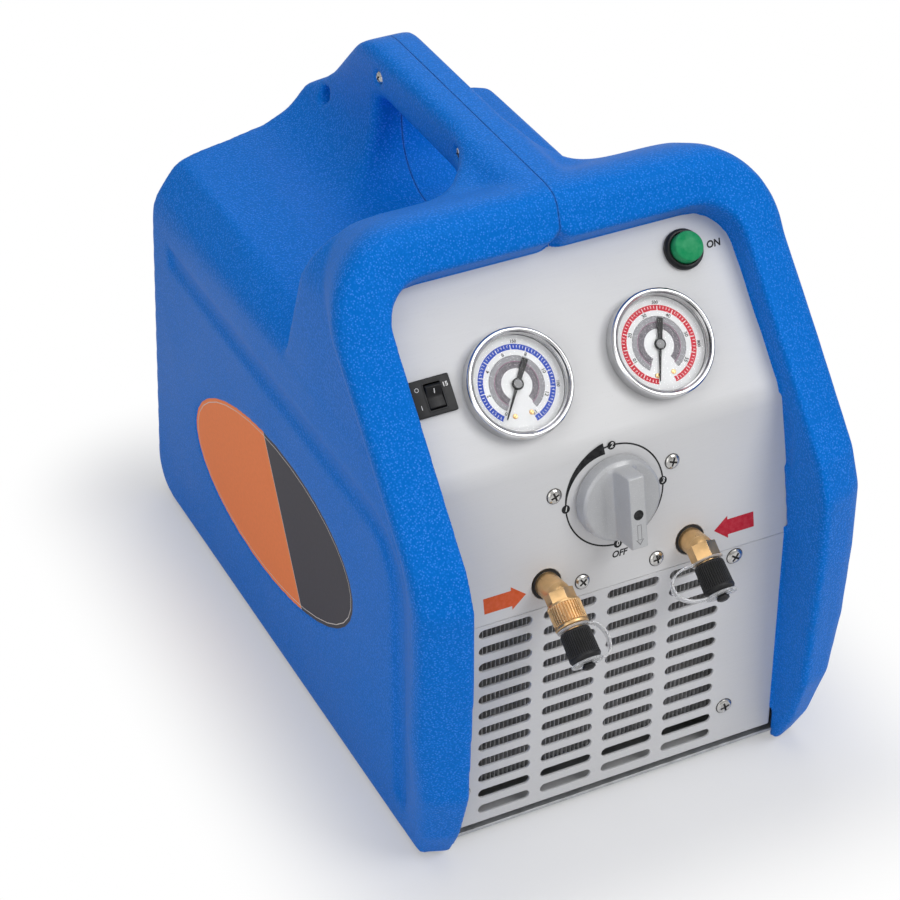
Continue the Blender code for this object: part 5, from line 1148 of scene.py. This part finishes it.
class MACHINE_OT_gauges(bpy.types.Operator):
    """Makes the two pressure gauges"""

    bl_idname = "machine.gauges"
    bl_label = "Gauges"

    # Height of the dial's face, and for each gauge its side, needle's angle, scale's ends, ticks and numbers
    DIAL = 2.2
    LOW = (-1.0, 145.0, (141.0, -167.0), 62,
           ((141, "0"), (97, "2"), (53, "4"), (9, "6"), (-35, "8"), (-79, "10"), (-121, "12"), (-163, "15")),
           ("150", "100"))
    HIGH = (1.0, 161.0, (161.0, -172.0), 66,
            ((155, "0"), (107, "10"), (59, "20"), (11, "30"), (-37, "40"), (-85, "50"), (-133, "55")),
            ("500", "800"))
    INNER_SCALE, INMOST_SCALE = (141.0, -154.0), (138.0, -150.0)

    def execute(self, context):
        sizes = context.scene.machine_sizes
        self.gauge(sizes, "low", *self.LOW)
        self.gauge(sizes, "high", *self.HIGH)
        return {"FINISHED"}

    def gauge(self, sizes, name, side, needle, reach, ticks, numbers, outer_numbers):
        """One gauge: case, bezel, glass, dial with its print, and pointer."""
        at = spot(UPPER, side * GAUGE_X, GAUGE_UP)
        case = lathe([(0.0, -38.0, 0.0), (5.0, -38.0, 0.6), (5.0, -26.0, 0.0), (27.8, -26.0, 2.5),
                      (27.8, 5.0, 0.0), (26.8, 5.0, 0.0), (26.8, -24.8, 1.0), (0.0, -24.8, 0.0)], 96)
        foot = self.DIAL + 0.1
        wall = turned([(26.75, foot), (26.75, 4.9), (26.55, 4.9), (26.55, foot)], 96, True)
        Kit("finish_black", "finish_bright").add(case, at).add(wall, at, 1).piece(
            name + "_gauge_body", "black_plastic", replaces=(name + "_gauge_case",))
        edge, top = sizes.bezel_radius / MM, sizes.bezel_height / MM
        bezel = turned(rounded([(28.2, 0.35, 0.0), (edge - 0.3, 0.35, 0.2), (edge, 1.6, 0.3),
                                (edge, top - 1.2, 1.0), (edge - 1.1, top, 0.9), (edge - 2.4, top - 0.2, 0.8),
                                (edge - 3.2, top - 1.9, 0.6), (25.7, 7.35, 0.35), (25.7, 6.95, 0.15),
                                (28.2, 6.95, 0.0)]), 128, True)
        Kit("finish_bright").add(bezel, at).piece(name + "_gauge_rim", "chrome",
                                                  replaces=(name + "_gauge_bezel",), angle=50.0)
        glass = lathe([(0.0, 5.3, 0.0), (27.4, 5.3, 0.1), (27.4, 6.8, 0.2), (0.0, 6.8, 0.0)], 96)
        Kit("finish_lens").add(glass, at).piece(name + "_gauge_glass", "clear",
                                                replaces=(name + "_gauge_lens",))
        self.dial(name, at, reach, ticks, numbers, outer_numbers)
        self.pointer(sizes, name, at @ Matrix.Rotation(radians(needle), 4, "Z"))

    def dial(self, name, at, reach, ticks, numbers, outer_numbers):
        """The printed dial."""
        up = self.DIAL
        card = turned([(1.3, up - 0.8), (26.4, up - 0.8), (26.4, up), (1.3, up)], 96, True)
        kit = Kit("finish_dial", "scale_" + name, "scale_pale", "scale_dark", "print_mauve", "print_black",
                  "finish_brass")
        kit.add(card, at)
        start, end = reach
        kit.add(band(18.6, 21.6, start, end, up + 0.05, 120), at, 1)
        for index in range(ticks + 1):
            angle = start + (end - start) * index / ticks
            longer = index % 5 == 0
            wide = 0.66 if longer else 0.46
            kit.add(band(18.5 if longer else 19.6, 21.0, angle - wide, angle + wide, up + 0.08, 1), at, 0)
        kit.add(band(12.5, 15.6, *self.INNER_SCALE, up + 0.05, 90), at, 2)
        kit.add(band(8.6, 12.1, *self.INMOST_SCALE, up + 0.05, 90), at, 3)
        kit.add(band(12.1, 12.5, *self.INNER_SCALE, up + 0.05, 90), at, 4)
        first, last = self.INMOST_SCALE
        for index in range(42):
            angle = first + (last - first) * index / 41
            kit.add(band(11.2, 12.1, angle - 0.5, angle + 0.5, up + 0.08, 1), at, 5)
            kit.add(band(14.9, 15.6, angle - 0.4, angle + 0.4, up + 0.08, 1), at, 5)
        for angle, words in numbers:
            turn = at @ Matrix.Rotation(radians(angle), 4, "Z") @ Matrix.Translation((0.0, 16.95 * MM, 0.0))
            kit.add(lettering(words, 2.8, 0.07, 0.0, up + 0.07), turn, 5)
        for angle, words in zip((-13.0, -103.0), outer_numbers):
            turn = at @ Matrix.Rotation(radians(angle), 4, "Z") @ Matrix.Translation((0.0, 22.9 * MM, 0.0))
            kit.add(lettering(words, 2.4, 0.06, 0.0, up + 0.07), turn, 5)
        for x, y in ((-6.3, -15.8), (3.2, -15.9)):
            screw = lathe([(0.0, 0.0, 0.0), (1.35, 0.0, 0.0), (1.35, 0.5, 0.3), (0.0, 0.7, 0.0)], 24)
            here = at @ Matrix.Translation((x * MM, y * MM, up * MM))
            kit.add(screw, here, 6)
            # Painted shade: a black line for the screw's slot
            kit.add(film(oblong(1.9, 0.3), 0.72), here @ Matrix.Rotation(0.6, 4, "Z"), 5)
        kit.piece(name + "_gauge_card", "dial_white", replaces=(name + "_gauge_dial",))

    def pointer(self, sizes, name, at):
        """The needle with its tail, hub and spindle."""
        tip = sizes.needle_length / MM
        up = self.DIAL + 1.2
        needle = slab([(-0.28, tip), (-0.8, 3.0), (-1.25, -2.0), (-1.3, -3.4), (-1.65, -14.4), (1.65, -14.4),
                       (1.3, -3.4), (1.25, -2.0), (0.8, 3.0), (0.28, tip)], up, up + 0.5, 0.08, 1)
        hub = lathe([(0.0, -24.2, 0.0), (1.0, -24.2, 0.0), (1.0, up - 0.1, 0.0), (3.2, up - 0.1, 0.1),
                     (3.2, up + 0.95, 0.25), (2.4, up + 0.95, 0.0), (2.4, up + 0.8, 0.0),
                     (0.0, up + 0.8, 0.0)], 40)
        disc = lathe([(0.0, up + 0.82, 0.0), (2.38, up + 0.82, 0.0), (2.2, up + 1.15, 0.15),
                      (0.5, up + 1.2, 0.1), (0.0, up + 1.05, 0.0)], 40)
        Kit("finish_black", "print_grey").add(needle, at).add(hub, at).add(disc, at, 1).piece(
            name + "_gauge_needle", "black_plastic", name + "_pointer", (name + "_gauge_pointer",))


class MACHINE_OT_start_button(bpy.types.Operator):
    """Makes the green start button in its black collar"""

    bl_idname = "machine.start_button"
    bl_label = "Start button"

    def execute(self, context):
        at = spot(UPPER, 74.0, 87.0)
        collar = lathe([(0.0, -18.0, 0.0), (9.6, -18.0, 0.6), (9.6, 0.35, 0.0), (11.3, 0.35, 0.2),
                        (11.3, 2.6, 0.8), (10.3, 4.2, 0.7), (9.0, 4.2, 0.3), (8.75, 3.4, 0.1),
                        (8.75, -7.0, 0.0), (0.0, -7.0, 0.0)], 72)
        Kit("finish_black").add(collar, at).piece("button_collar", "black_plastic",
                                                  replaces=("start_button_housing",))
        cap = lathe([(0.0, -3.7, 0.0), (8.4, -3.7, 0.2), (8.4, 9.6, 1.2), (4.5, 10.8, 5.0),
                     (0.0, 10.9, 0.0)], 72)
        Kit("finish_button").add(cap, at).piece("green_button", "button_green", "start_plunger",
                                                ("start_button",))
        return {"FINISHED"}


class MACHINE_OT_breaker(bpy.types.Operator):
    """Makes the breaker's plate and rocker"""

    bl_idname = "machine.breaker"
    bl_label = "Breaker"

    def execute(self, context):
        at = spot(UPPER, -88.5, BREAKER_UP)
        hole = oblong(9.6, 14.2, 0.5, 1.0)
        plate = slab(oblong(23.0, 20.0, 0.9), 0.35, 1.95, 0.35, 3)
        plate = carved(plate, slab(hole, -9.0, 5.0))
        frame_line = carved(slab(oblong(11.4, 16.0, 1.0, 1.0), 1.2, 1.99, 0.15, 2),
                            slab(oblong(9.7, 14.3, 0.5, 1.0), -9.0, 5.0))
        block = carved(slab(oblong(18.0, 16.0, 0.8), -28.0, 0.6), slab(hole, -8.0, 5.0))
        kit = Kit("finish_black", "print_white")
        kit.add(plate, at).add(block, at).add(frame_line, at)
        kit.add(lettering("15", 3.3, 0.08, 0.0, 2.02), spot(UPPER, -80.3, 51.5), 1)
        kit.add(band(0.9, 1.15, 0.0, 360.0, 2.02, 24), spot(UPPER, -96.4, 52.0), 1)
        kit.add(film(oblong(0.35, 2.4), 2.02), spot(UPPER, -96.4, 42.5), 1)
        kit.piece("breaker_plate", "black_plastic", replaces=("breaker_body",))
        side = rounded([(-6.6, 1.0, 0.4), (-5.4, -2.4, 0.4), (-1.5, -4.5, 0.4), (1.5, -4.5, 0.4),
                        (5.4, -2.4, 0.4), (6.6, 1.0, 0.4), (5.6, 3.2, 0.6), (0.0, 1.4, 4.0),
                        (-5.6, 3.2, 0.6)], steps=4)
        rocker = slab(side, -4.5, 4.5)
        rim = [edge for edge in rocker.edges if abs(edge.verts[0].co.z - edge.verts[1].co.z) < 1e-6]
        bevelled(rocker, rim, 0.3, 2)
        tilt = spot(UPPER, -87.5, BREAKER_UP) @ Matrix.Rotation(radians(10.0), 4, "X")
        kit = Kit("finish_black", "print_white")
        kit.add(rocker, tilt @ ACROSS)
        kit.add(film(oblong(0.5, 2.6), 0.0), tilt @ Matrix.Translation((0.0, 3.0 * MM, 2.62 * MM))
                @ Matrix.Rotation(radians(18.0), 4, "X"), 1)
        kit.piece("rocker", "black_plastic", "breaker_lever", ("breaker_rocker",))
        return {"FINISHED"}


class MACHINE_OT_selector(bpy.types.Operator):
    """Makes the selector knob with its grip bar"""

    bl_idname = "machine.selector"
    bl_label = "Selector knob"

    # The bar's rings from its foot to its top: height, half width, half length, corner
    TOP = 26.0
    BAR = ((8.6, 11.6, 21.4, 6.0), (9.9, 9.4, 21.1, 4.6), (10.4, 7.6, 20.9, 2.6), (11.4, 6.2, 20.7, 1.6),
           (13.4, 5.4, 20.8, 1.2), (18.0, 5.0, 20.9, 0.8), (24.6, 4.85, 20.95, 0.6), (25.5, 4.7, 20.75, 0.6),
           (TOP, 4.3, 20.3, 0.5))
    ARROWHEAD = ((-1.7, -15.4), (0.0, -17.8), (1.7, -15.4), (2.4, -15.4), (0.0, -18.8), (-2.4, -15.4))

    def execute(self, context):
        at = spot(MIDDLE, 0.0, KNOB_UP)
        disc = lathe([(0.0, -18.0, 0.0), (4.8, -18.0, 0.4), (4.8, 0.8, 0.0), (23.2, 0.8, 0.4),
                      (24.0, 2.0, 0.6), (23.2, 8.2, 0.9), (21.6, 9.6, 1.2), (0.0, 9.9, 0.0)], 96)
        bar = loft([[(x, y, height) for x, y in oblong(2 * wide, 2 * long, corner, steps=6)]
                    for height, wide, long, corner in self.BAR])
        kit = Kit("finish_knob", "print_black", "print_grey")
        kit.add(disc, at).add(bar, at)
        kit.add(film(ring_points(2.9, 40), self.TOP + 0.02), spot(MIDDLE, 0.0, KNOB_UP - 1.0), 1)
        arrow = carved(slab(oblong(2.6, 9.0, 0.2, 0.0, -11.2), self.TOP - 0.3, self.TOP + 0.03),
                       slab(oblong(1.9, 8.3, 0.1, 0.0, -11.2), self.TOP - 1.0, self.TOP + 1.0))
        kit.add(arrow, at, 2)
        kit.add(film(self.ARROWHEAD, self.TOP + 0.03), at, 2)
        kit.piece("grip_knob", "knob_grey", "selector", ("selector_knob",), 30.0)
        return {"FINISHED"}


class MACHINE_OT_ports(bpy.types.Operator):
    """Makes the two brass ports with their caps and clear straps"""

    bl_idname = "machine.ports"
    bl_label = "Ports"

    # Radii in millimetres: of the elbow's bend, of the pipe and of its threaded neck
    BEND = 5.0
    PIPE = 7.1
    NECK = 5.0

    def execute(self, context):
        inlet, outlet = leg_frame(IN_PORT), leg_frame(OUT_PORT)
        self.fitting("in", IN_PORT, 4.0, 24.0)
        self.fitting("out", OUT_PORT, 6.5, 12.2)
        self.nut(inlet)
        self.cap("in", inlet, 20.5)
        self.cap("out", outlet, 8.7)
        self.strap("in", inlet, 18.6, 38.3, 17.0)
        self.strap("out", outlet, 6.8, 26.5, -26.0)
        return {"FINISHED"}

    def fitting(self, name, port, shoulder, end):
        """Stub, elbow, hexagon and threaded neck, and a black ring of painted shade in the gap round the
        stub.
        """
        x, y, rise = port
        back = self.BEND * tan(radians(LEG_TURN) / 2)
        base = spot(MIDDLE, x, y)
        kit = Kit("finish_brass", "finish_black")
        kit.add(lathe([(0.0, -12.0, 0.0), (self.PIPE, -12.0, 0.5), (self.PIPE, rise - back, 0.0),
                       (0.0, rise - back, 0.0)], 64), base)
        elbow = bmesh.new()
        circle = bmesh.ops.create_circle(elbow, segments=64, radius=self.PIPE, cap_ends=False)["verts"]
        bmesh.ops.translate(elbow, verts=circle, vec=(0.0, 0.0, rise - back))
        bmesh.ops.spin(elbow, geom=circle + list(elbow.edges), cent=(0.0, -self.BEND, rise - back),
                       axis=(1.0, 0.0, 0.0), angle=radians(LEG_TURN), steps=14)
        bmesh.ops.recalc_face_normals(elbow, faces=elbow.faces)
        kit.add(elbow, base)
        leg = leg_frame(port)
        kit.add(lathe([(0.0, back - 0.05, 0.0), (self.PIPE, back - 0.05, 0.0), (self.PIPE, back + 0.2, 0.0),
                       (self.NECK, max(shoulder, back + 0.3), 0.0), (self.NECK, end, 0.5), (0.0, end, 0.0)],
                      64), leg)
        flats = slab(ring_points(8.3, 6, pi / 6), -2.0, shoulder + 0.6, 0.4, 2)
        kit.add(flats, leg)
        # Painted shade: a thin black ring over the gap between the stub and its hole in the panel
        kit.add(turned([(7.0, 0.05), (8.6, 0.05), (8.6, 0.12), (7.0, 0.12)], 64, True), base, 1)
        kit.piece(name + "_port_brass", "brass", replaces=(name + "_port_fitting",))

    @staticmethod
    def ribbed(count, heights):
        """A ribbed tube, from (height, radius, depth of the grooves)."""
        rings = []
        for height, radius, deep in heights:
            ring = []
            for index, (x, y) in enumerate(ring_points(1.0, 4 * count)):
                reach = radius - (deep if index % 4 > 1 else 0.0)
                ring.append((reach * x, reach * y, height))
            rings.append(ring)
        return loft(rings, False)

    def nut(self, leg):
        """The knurled nut of the inlet port."""
        kit = Kit("finish_brass")
        kit.add(self.ribbed(36, ((5.6, 9.3, 0.2), (6.2, 9.3, 0.9), (15.6, 9.3, 0.9), (16.2, 9.3, 0.2))), leg)
        kit.add(lathe([(7.9, 4.35, 0.0), (8.8, 4.35, 0.3), (9.2, 5.6, 0.2), (8.4, 5.9, 0.0)], 96), leg)
        kit.add(lathe([(8.4, 15.9, 0.0), (9.0, 16.2, 0.1), (9.45, 16.6, 0.2), (9.45, 17.9, 0.3),
                       (8.8, 18.3, 0.2), (5.4, 18.3, 0.0), (5.4, 4.35, 0.0), (7.9, 4.35, 0.0)], 96), leg)
        kit.piece("knurled_nut", "brass", "in_nut", ("in_filter_nut",), 12.0)

    def cap(self, name, leg, low):
        """A ribbed black cap with its tail button."""
        body = self.ribbed(42, ((low, 7.6, 0.0), (low + 1.0, 8.3, 0.0), (low + 2.0, 8.4, 0.8),
                                (low + 13.8, 8.7, 0.8), (low + 14.6, 8.8, 0.2), (low + 15.6, 8.8, 0.0),
                                (low + 17.5, 7.6, 0.0)))
        inner = lathe([(5.7, low + 11.0, 0.0), (5.7, low, 0.0), (7.6, low, 0.0)], 168)
        roof = turned([(5.7, low + 11.0), (0.0, low + 11.0)], 168)
        end = lathe([(7.6, low + 17.5, 0.0), (3.4, low + 17.5, 0.0), (2.7, low + 18.2, 0.2),
                     (2.7, low + 19.2, 0.2), (3.6, low + 19.8, 0.2), (3.6, low + 21.2, 0.5),
                     (2.0, low + 22.1, 0.3), (0.0, low + 22.1, 0.0)], 168)
        kit = Kit("finish_black")
        kit.add(body, leg).add(inner, leg).add(roof, leg).add(end, leg)
        kit.piece(name + "_ribbed_cap", "black_plastic", name + "_cap", (name + "_port_cap",), 40.0)

    def strap(self, name, leg, near, far, reach):
        """A clear strap with its two eyes and the loop between them."""
        kit = Kit("finish_clear")
        for height, inner in ((near, 5.6), (far, 3.0)):
            kit.add(turned(rounded([(inner, height, 0.15), (9.0, height, 0.3), (9.0, height + 1.1, 0.3),
                                    (inner, height + 1.1, 0.15)], steps=3), 72, True), leg)
        side = 1.0 if reach > 0 else -1.0
        root, bulge = 8.6, abs(reach) - 9.2
        middle, half = (near + far) / 2 + 0.55, (far - near) / 2
        steps = 36
        path = []
        for step in range(steps + 1):
            angle = -pi / 2 + pi * step / steps
            out = root + bulge * max(cos(angle), 0.0) ** 0.8
            path.append((side * out, middle + half * sin(angle)))
        rings = []
        for index, (x, z) in enumerate(path):
            before = Vector(path[max(index - 1, 0)])
            after = Vector(path[min(index + 1, steps)])
            way = (after - before).normalized()
            out = Vector((way.y, -way.x)) * 0.5
            rings.append([(x + out.x, -2.0, z + out.y), (x + out.x, 2.0, z + out.y),
                          (x - out.x, 2.0, z - out.y), (x - out.x, -2.0, z - out.y)])
        kit.add(loft(rings), leg)
        kit.piece(name + "_clear_strap", "clear", name + "_cap", (name + "_cap_strap",), 30.0)


class MACHINE_OT_condenser(bpy.types.Operator):
    """Makes the fin stack behind the grille"""

    bl_idname = "machine.condenser"
    bl_label = "Condenser"

    def execute(self, context):
        low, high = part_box("condenser_fins")
        kit = Kit("finish_fins", "finish_copper")
        plates = 66
        wide = (high.x - low.x) / MM
        deep = (high.y - low.y) / MM
        tall = (high.z - low.z) / MM
        middle = (low.y + high.y) / 2
        start = Matrix.Translation((0.0, middle, low.z))
        for index in range(plates):
            x = low.x / MM + wide * (index + 0.5) / plates
            plate = slab(oblong(0.45, deep), 0.0, tall)
            kit.add(plate, start @ Matrix.Translation((x * MM, 0.0, 0.0)))
        across = Matrix.Rotation(pi / 2, 4, "Y")
        for row in range(5):
            for column in (-11.0, 11.0):
                tube = turned([(3.6, -wide / 2), (3.6, wide / 2)], 14)
                at = Matrix.Translation((0.0, middle + column * MM, low.z + (14.0 + row * 22.6) * MM))
                kit.add(tube, at @ across, 1)
        kit.piece("fin_stack", "coil", replaces=("condenser_fins",))
        dress("finish_steel", "condenser_end_left", "condenser_end_right")
        return {"FINISHED"}


class MACHINE_OT_side_label(bpy.types.Operator):
    """Makes the bare two-colour label in the side recess"""

    bl_idname = "machine.side_label"
    bl_label = "Side label"

    # Ends of the line between the two colours
    FROM = Vector((0.0, 30.0 * MM, 153.2 * MM))
    TO = Vector((0.0, -18.9 * MM, 52.2 * MM))

    BORDER, PINSTRIPE = 2.4 * MM, 0.45 * MM

    def divide(self, work):
        """Gives the label its thin border, its two colours and the line between them."""
        face = max((f for f in work.faces if f.normal.x < -0.9), key=lambda f: f.calc_area())
        bmesh.ops.inset_region(work, faces=[face], thickness=self.BORDER, use_even_offset=True)
        line = bmesh.ops.inset_region(work, faces=[face], thickness=self.PINSTRIPE, use_even_offset=True)
        for rim in line["faces"]:
            rim.material_index = 2
        along = (self.TO - self.FROM).normalized()
        across = Vector((0.0, -along.z, along.y))
        if across.y < 0.0:
            across.negate()
        for gap in (-0.3, 0.3):
            bmesh.ops.bisect_plane(work, geom=work.verts[:] + work.edges[:] + work.faces[:],
                                   plane_co=self.FROM + across * gap * MM, plane_no=across)
        for face in work.faces:
            past = (face.calc_center_median() - self.FROM).dot(across) / MM
            if abs(past) < 0.3:
                face.material_index = 2
            elif past < 0.0 and face.material_index != 2:
                face.material_index = 1

    def execute(self, context):
        clad("side_inlay", "label_plate", ["print_label_rear", "print_label_front", "print_pale"], "inlay",
             change=self.divide)
        return {"FINISHED"}


class MACHINE_OT_screws(bpy.types.Operator):
    """Makes the screws of the panel, the grille and the handle"""

    bl_idname = "machine.screws"
    bl_label = "Screws"

    # Places in millimetres with the turn of each recess, and the turns of the two on each side of the handle
    PANEL = ((-35.5, -23.0, 20.0), (35.5, -23.0, 70.0), (-22.7, -78.0, 35.0), (22.7, -78.0, 10.0))
    GRILLE = ((71.6, 145.3, 55.0), (71.6, 37.4, 15.0), (-95.0, 145.3, 30.0), (-95.0, 37.4, 65.0))
    HANDLE_TURNS = (20.0, 50.0)
    HANDLE_SIDE = 15.2

    @staticmethod
    def head(radius, tall):
        """A domed head with a cross recess."""
        dome = lathe([(0.0, 0.0, 0.0), (radius, 0.0, 0.0), (radius, 0.35 * tall, 0.2 * tall),
                      (0.72 * radius, 0.82 * tall, 0.5 * radius), (0.0, tall, 0.0)], 40)
        arm, half = 0.62 * radius, 0.13 * radius
        cross = [(-half, -arm), (half, -arm), (half, -half), (arm, -half), (arm, half), (half, half),
                 (half, arm), (-half, arm), (-half, half), (-arm, half), (-arm, -half), (-half, -half)]
        made = carved(dome, slab(cross, 0.35 * tall, 2 * tall))
        # Painted shade: the floor and walls of the cross recess take the second, dark paint
        for face in made.faces:
            middle = face.calc_center_median()
            low = abs(middle.z - 0.35 * tall) < 0.02 and face.normal.z > 0.9
            wall = abs(face.normal.z) < 0.05 and middle.xy.length < 0.7 * radius
            face.material_index = 1 if low or wall else 0
        return made

    def execute(self, context):
        size = context.scene.machine_sizes.screw_radius / MM
        low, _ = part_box("grille_panel")
        grille = Matrix.Translation((0.0, low.y, 0.0)) @ Matrix.Rotation(pi / 2, 4, "X")
        kit = Kit("finish_screw", "finish_recess")
        for face, places, radius in ((MIDDLE, self.PANEL, size), (grille, self.GRILLE, size + 0.6)):
            for x, y, turn in places:
                at = spot(face, x, y, 0.0, turn)
                inner, outer = radius - 0.2, radius + 0.4
                # Painted shade: a thin dark ring round each head
                shade = turned([(inner, 0.0), (outer, 0.0), (outer, 0.15), (inner, 0.15)], 40, True)
                kit.add(self.head(radius, 1.8), at, None).add(shade, at, 1)
        for side in (-1.0, 1.0):
            for (y, z), turn in zip(HANDLE_SCREWS, self.HANDLE_TURNS):
                at = Matrix.Translation((side * self.HANDLE_SIDE * MM, y * MM, z * MM))
                at = at @ Matrix.Rotation(side * pi / 2, 4, "Y") @ Matrix.Rotation(radians(turn), 4, "Z")
                kit.add(self.head(3.8, 2.0), at, None)
        kit.piece("panel_screws", "steel")
        return {"FINISHED"}


class MACHINE_OT_inside(bpy.types.Operator):
    """Dresses the machinery inside and the inlet at the rear"""

    bl_idname = "machine.inside"
    bl_label = "Inside"

    def execute(self, context):
        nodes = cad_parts
        dress("finish_cast", "compressor_crankcase", "left_cylinder_head", "right_cylinder_head",
              "selector_valve_body")
        dress("finish_motor", "motor_housing")
        dress("finish_steel", "motor_shaft", "compressor_cradle", "pressure_switch")
        dress("finish_rubber", *[name for name in nodes if name.startswith("isolator_")])
        dress("finish_copper", *[name for name in nodes if name.endswith("_pipe")])
        dress("finish_black", "fan_blade", "fan_shroud", "ac_inlet")
        dress("finish_capacitor", "run_capacitor")
        dress("finish_brass", "inlet_pin_earth", "inlet_pin_live", "inlet_pin_neutral")
        return {"FINISHED"}


class MACHINE_PT_pieces(bpy.types.Panel):
    """The machine's pieces and their settings"""

    bl_idname = "MACHINE_PT_pieces"
    bl_label = "Recovery machine"
    bl_space_type = "VIEW_3D"
    bl_region_type = "UI"
    bl_category = "Machine"

    def draw(self, context):
        column = self.layout.column(align=True)
        for piece in PIECES:
            column.operator(piece.bl_idname)
        for group in (context.scene.machine_sizes, context.scene.machine_colours):
            box = self.layout.box()
            for name in type(group).__annotations__:
                box.prop(group, name)


PIECES = (
    MACHINE_OT_stage,
    MACHINE_OT_shells,
    MACHINE_OT_sheet_metal,
    MACHINE_OT_panel_print,
    MACHINE_OT_gauges,
    MACHINE_OT_start_button,
    MACHINE_OT_breaker,
    MACHINE_OT_selector,
    MACHINE_OT_ports,
    MACHINE_OT_condenser,
    MACHINE_OT_side_label,
    MACHINE_OT_screws,
    MACHINE_OT_inside,
)
CLASSES = (MachineSizes, MachineColours, *PIECES, MACHINE_PT_pieces)


def register():
    for kind in CLASSES:
        bpy.utils.register_class(kind)
    bpy.types.Scene.machine_sizes = PointerProperty(type=MachineSizes)
    bpy.types.Scene.machine_colours = PointerProperty(type=MachineColours)


def unregister():
    del bpy.types.Scene.machine_colours
    del bpy.types.Scene.machine_sizes
    for kind in reversed(CLASSES):
        bpy.utils.unregister_class(kind)


def main():
    """Builds the scene."""
    register()
    bpy.ops.machine.stage()
    bpy.ops.machine.shells()
    bpy.ops.machine.sheet_metal()
    bpy.ops.machine.panel_print()
    bpy.ops.machine.gauges()
    bpy.ops.machine.start_button()
    bpy.ops.machine.breaker()
    bpy.ops.machine.selector()
    bpy.ops.machine.ports()
    bpy.ops.machine.condenser()
    bpy.ops.machine.side_label()
    bpy.ops.machine.screws()
    bpy.ops.machine.inside()


if __name__ == "__main__":
    main()
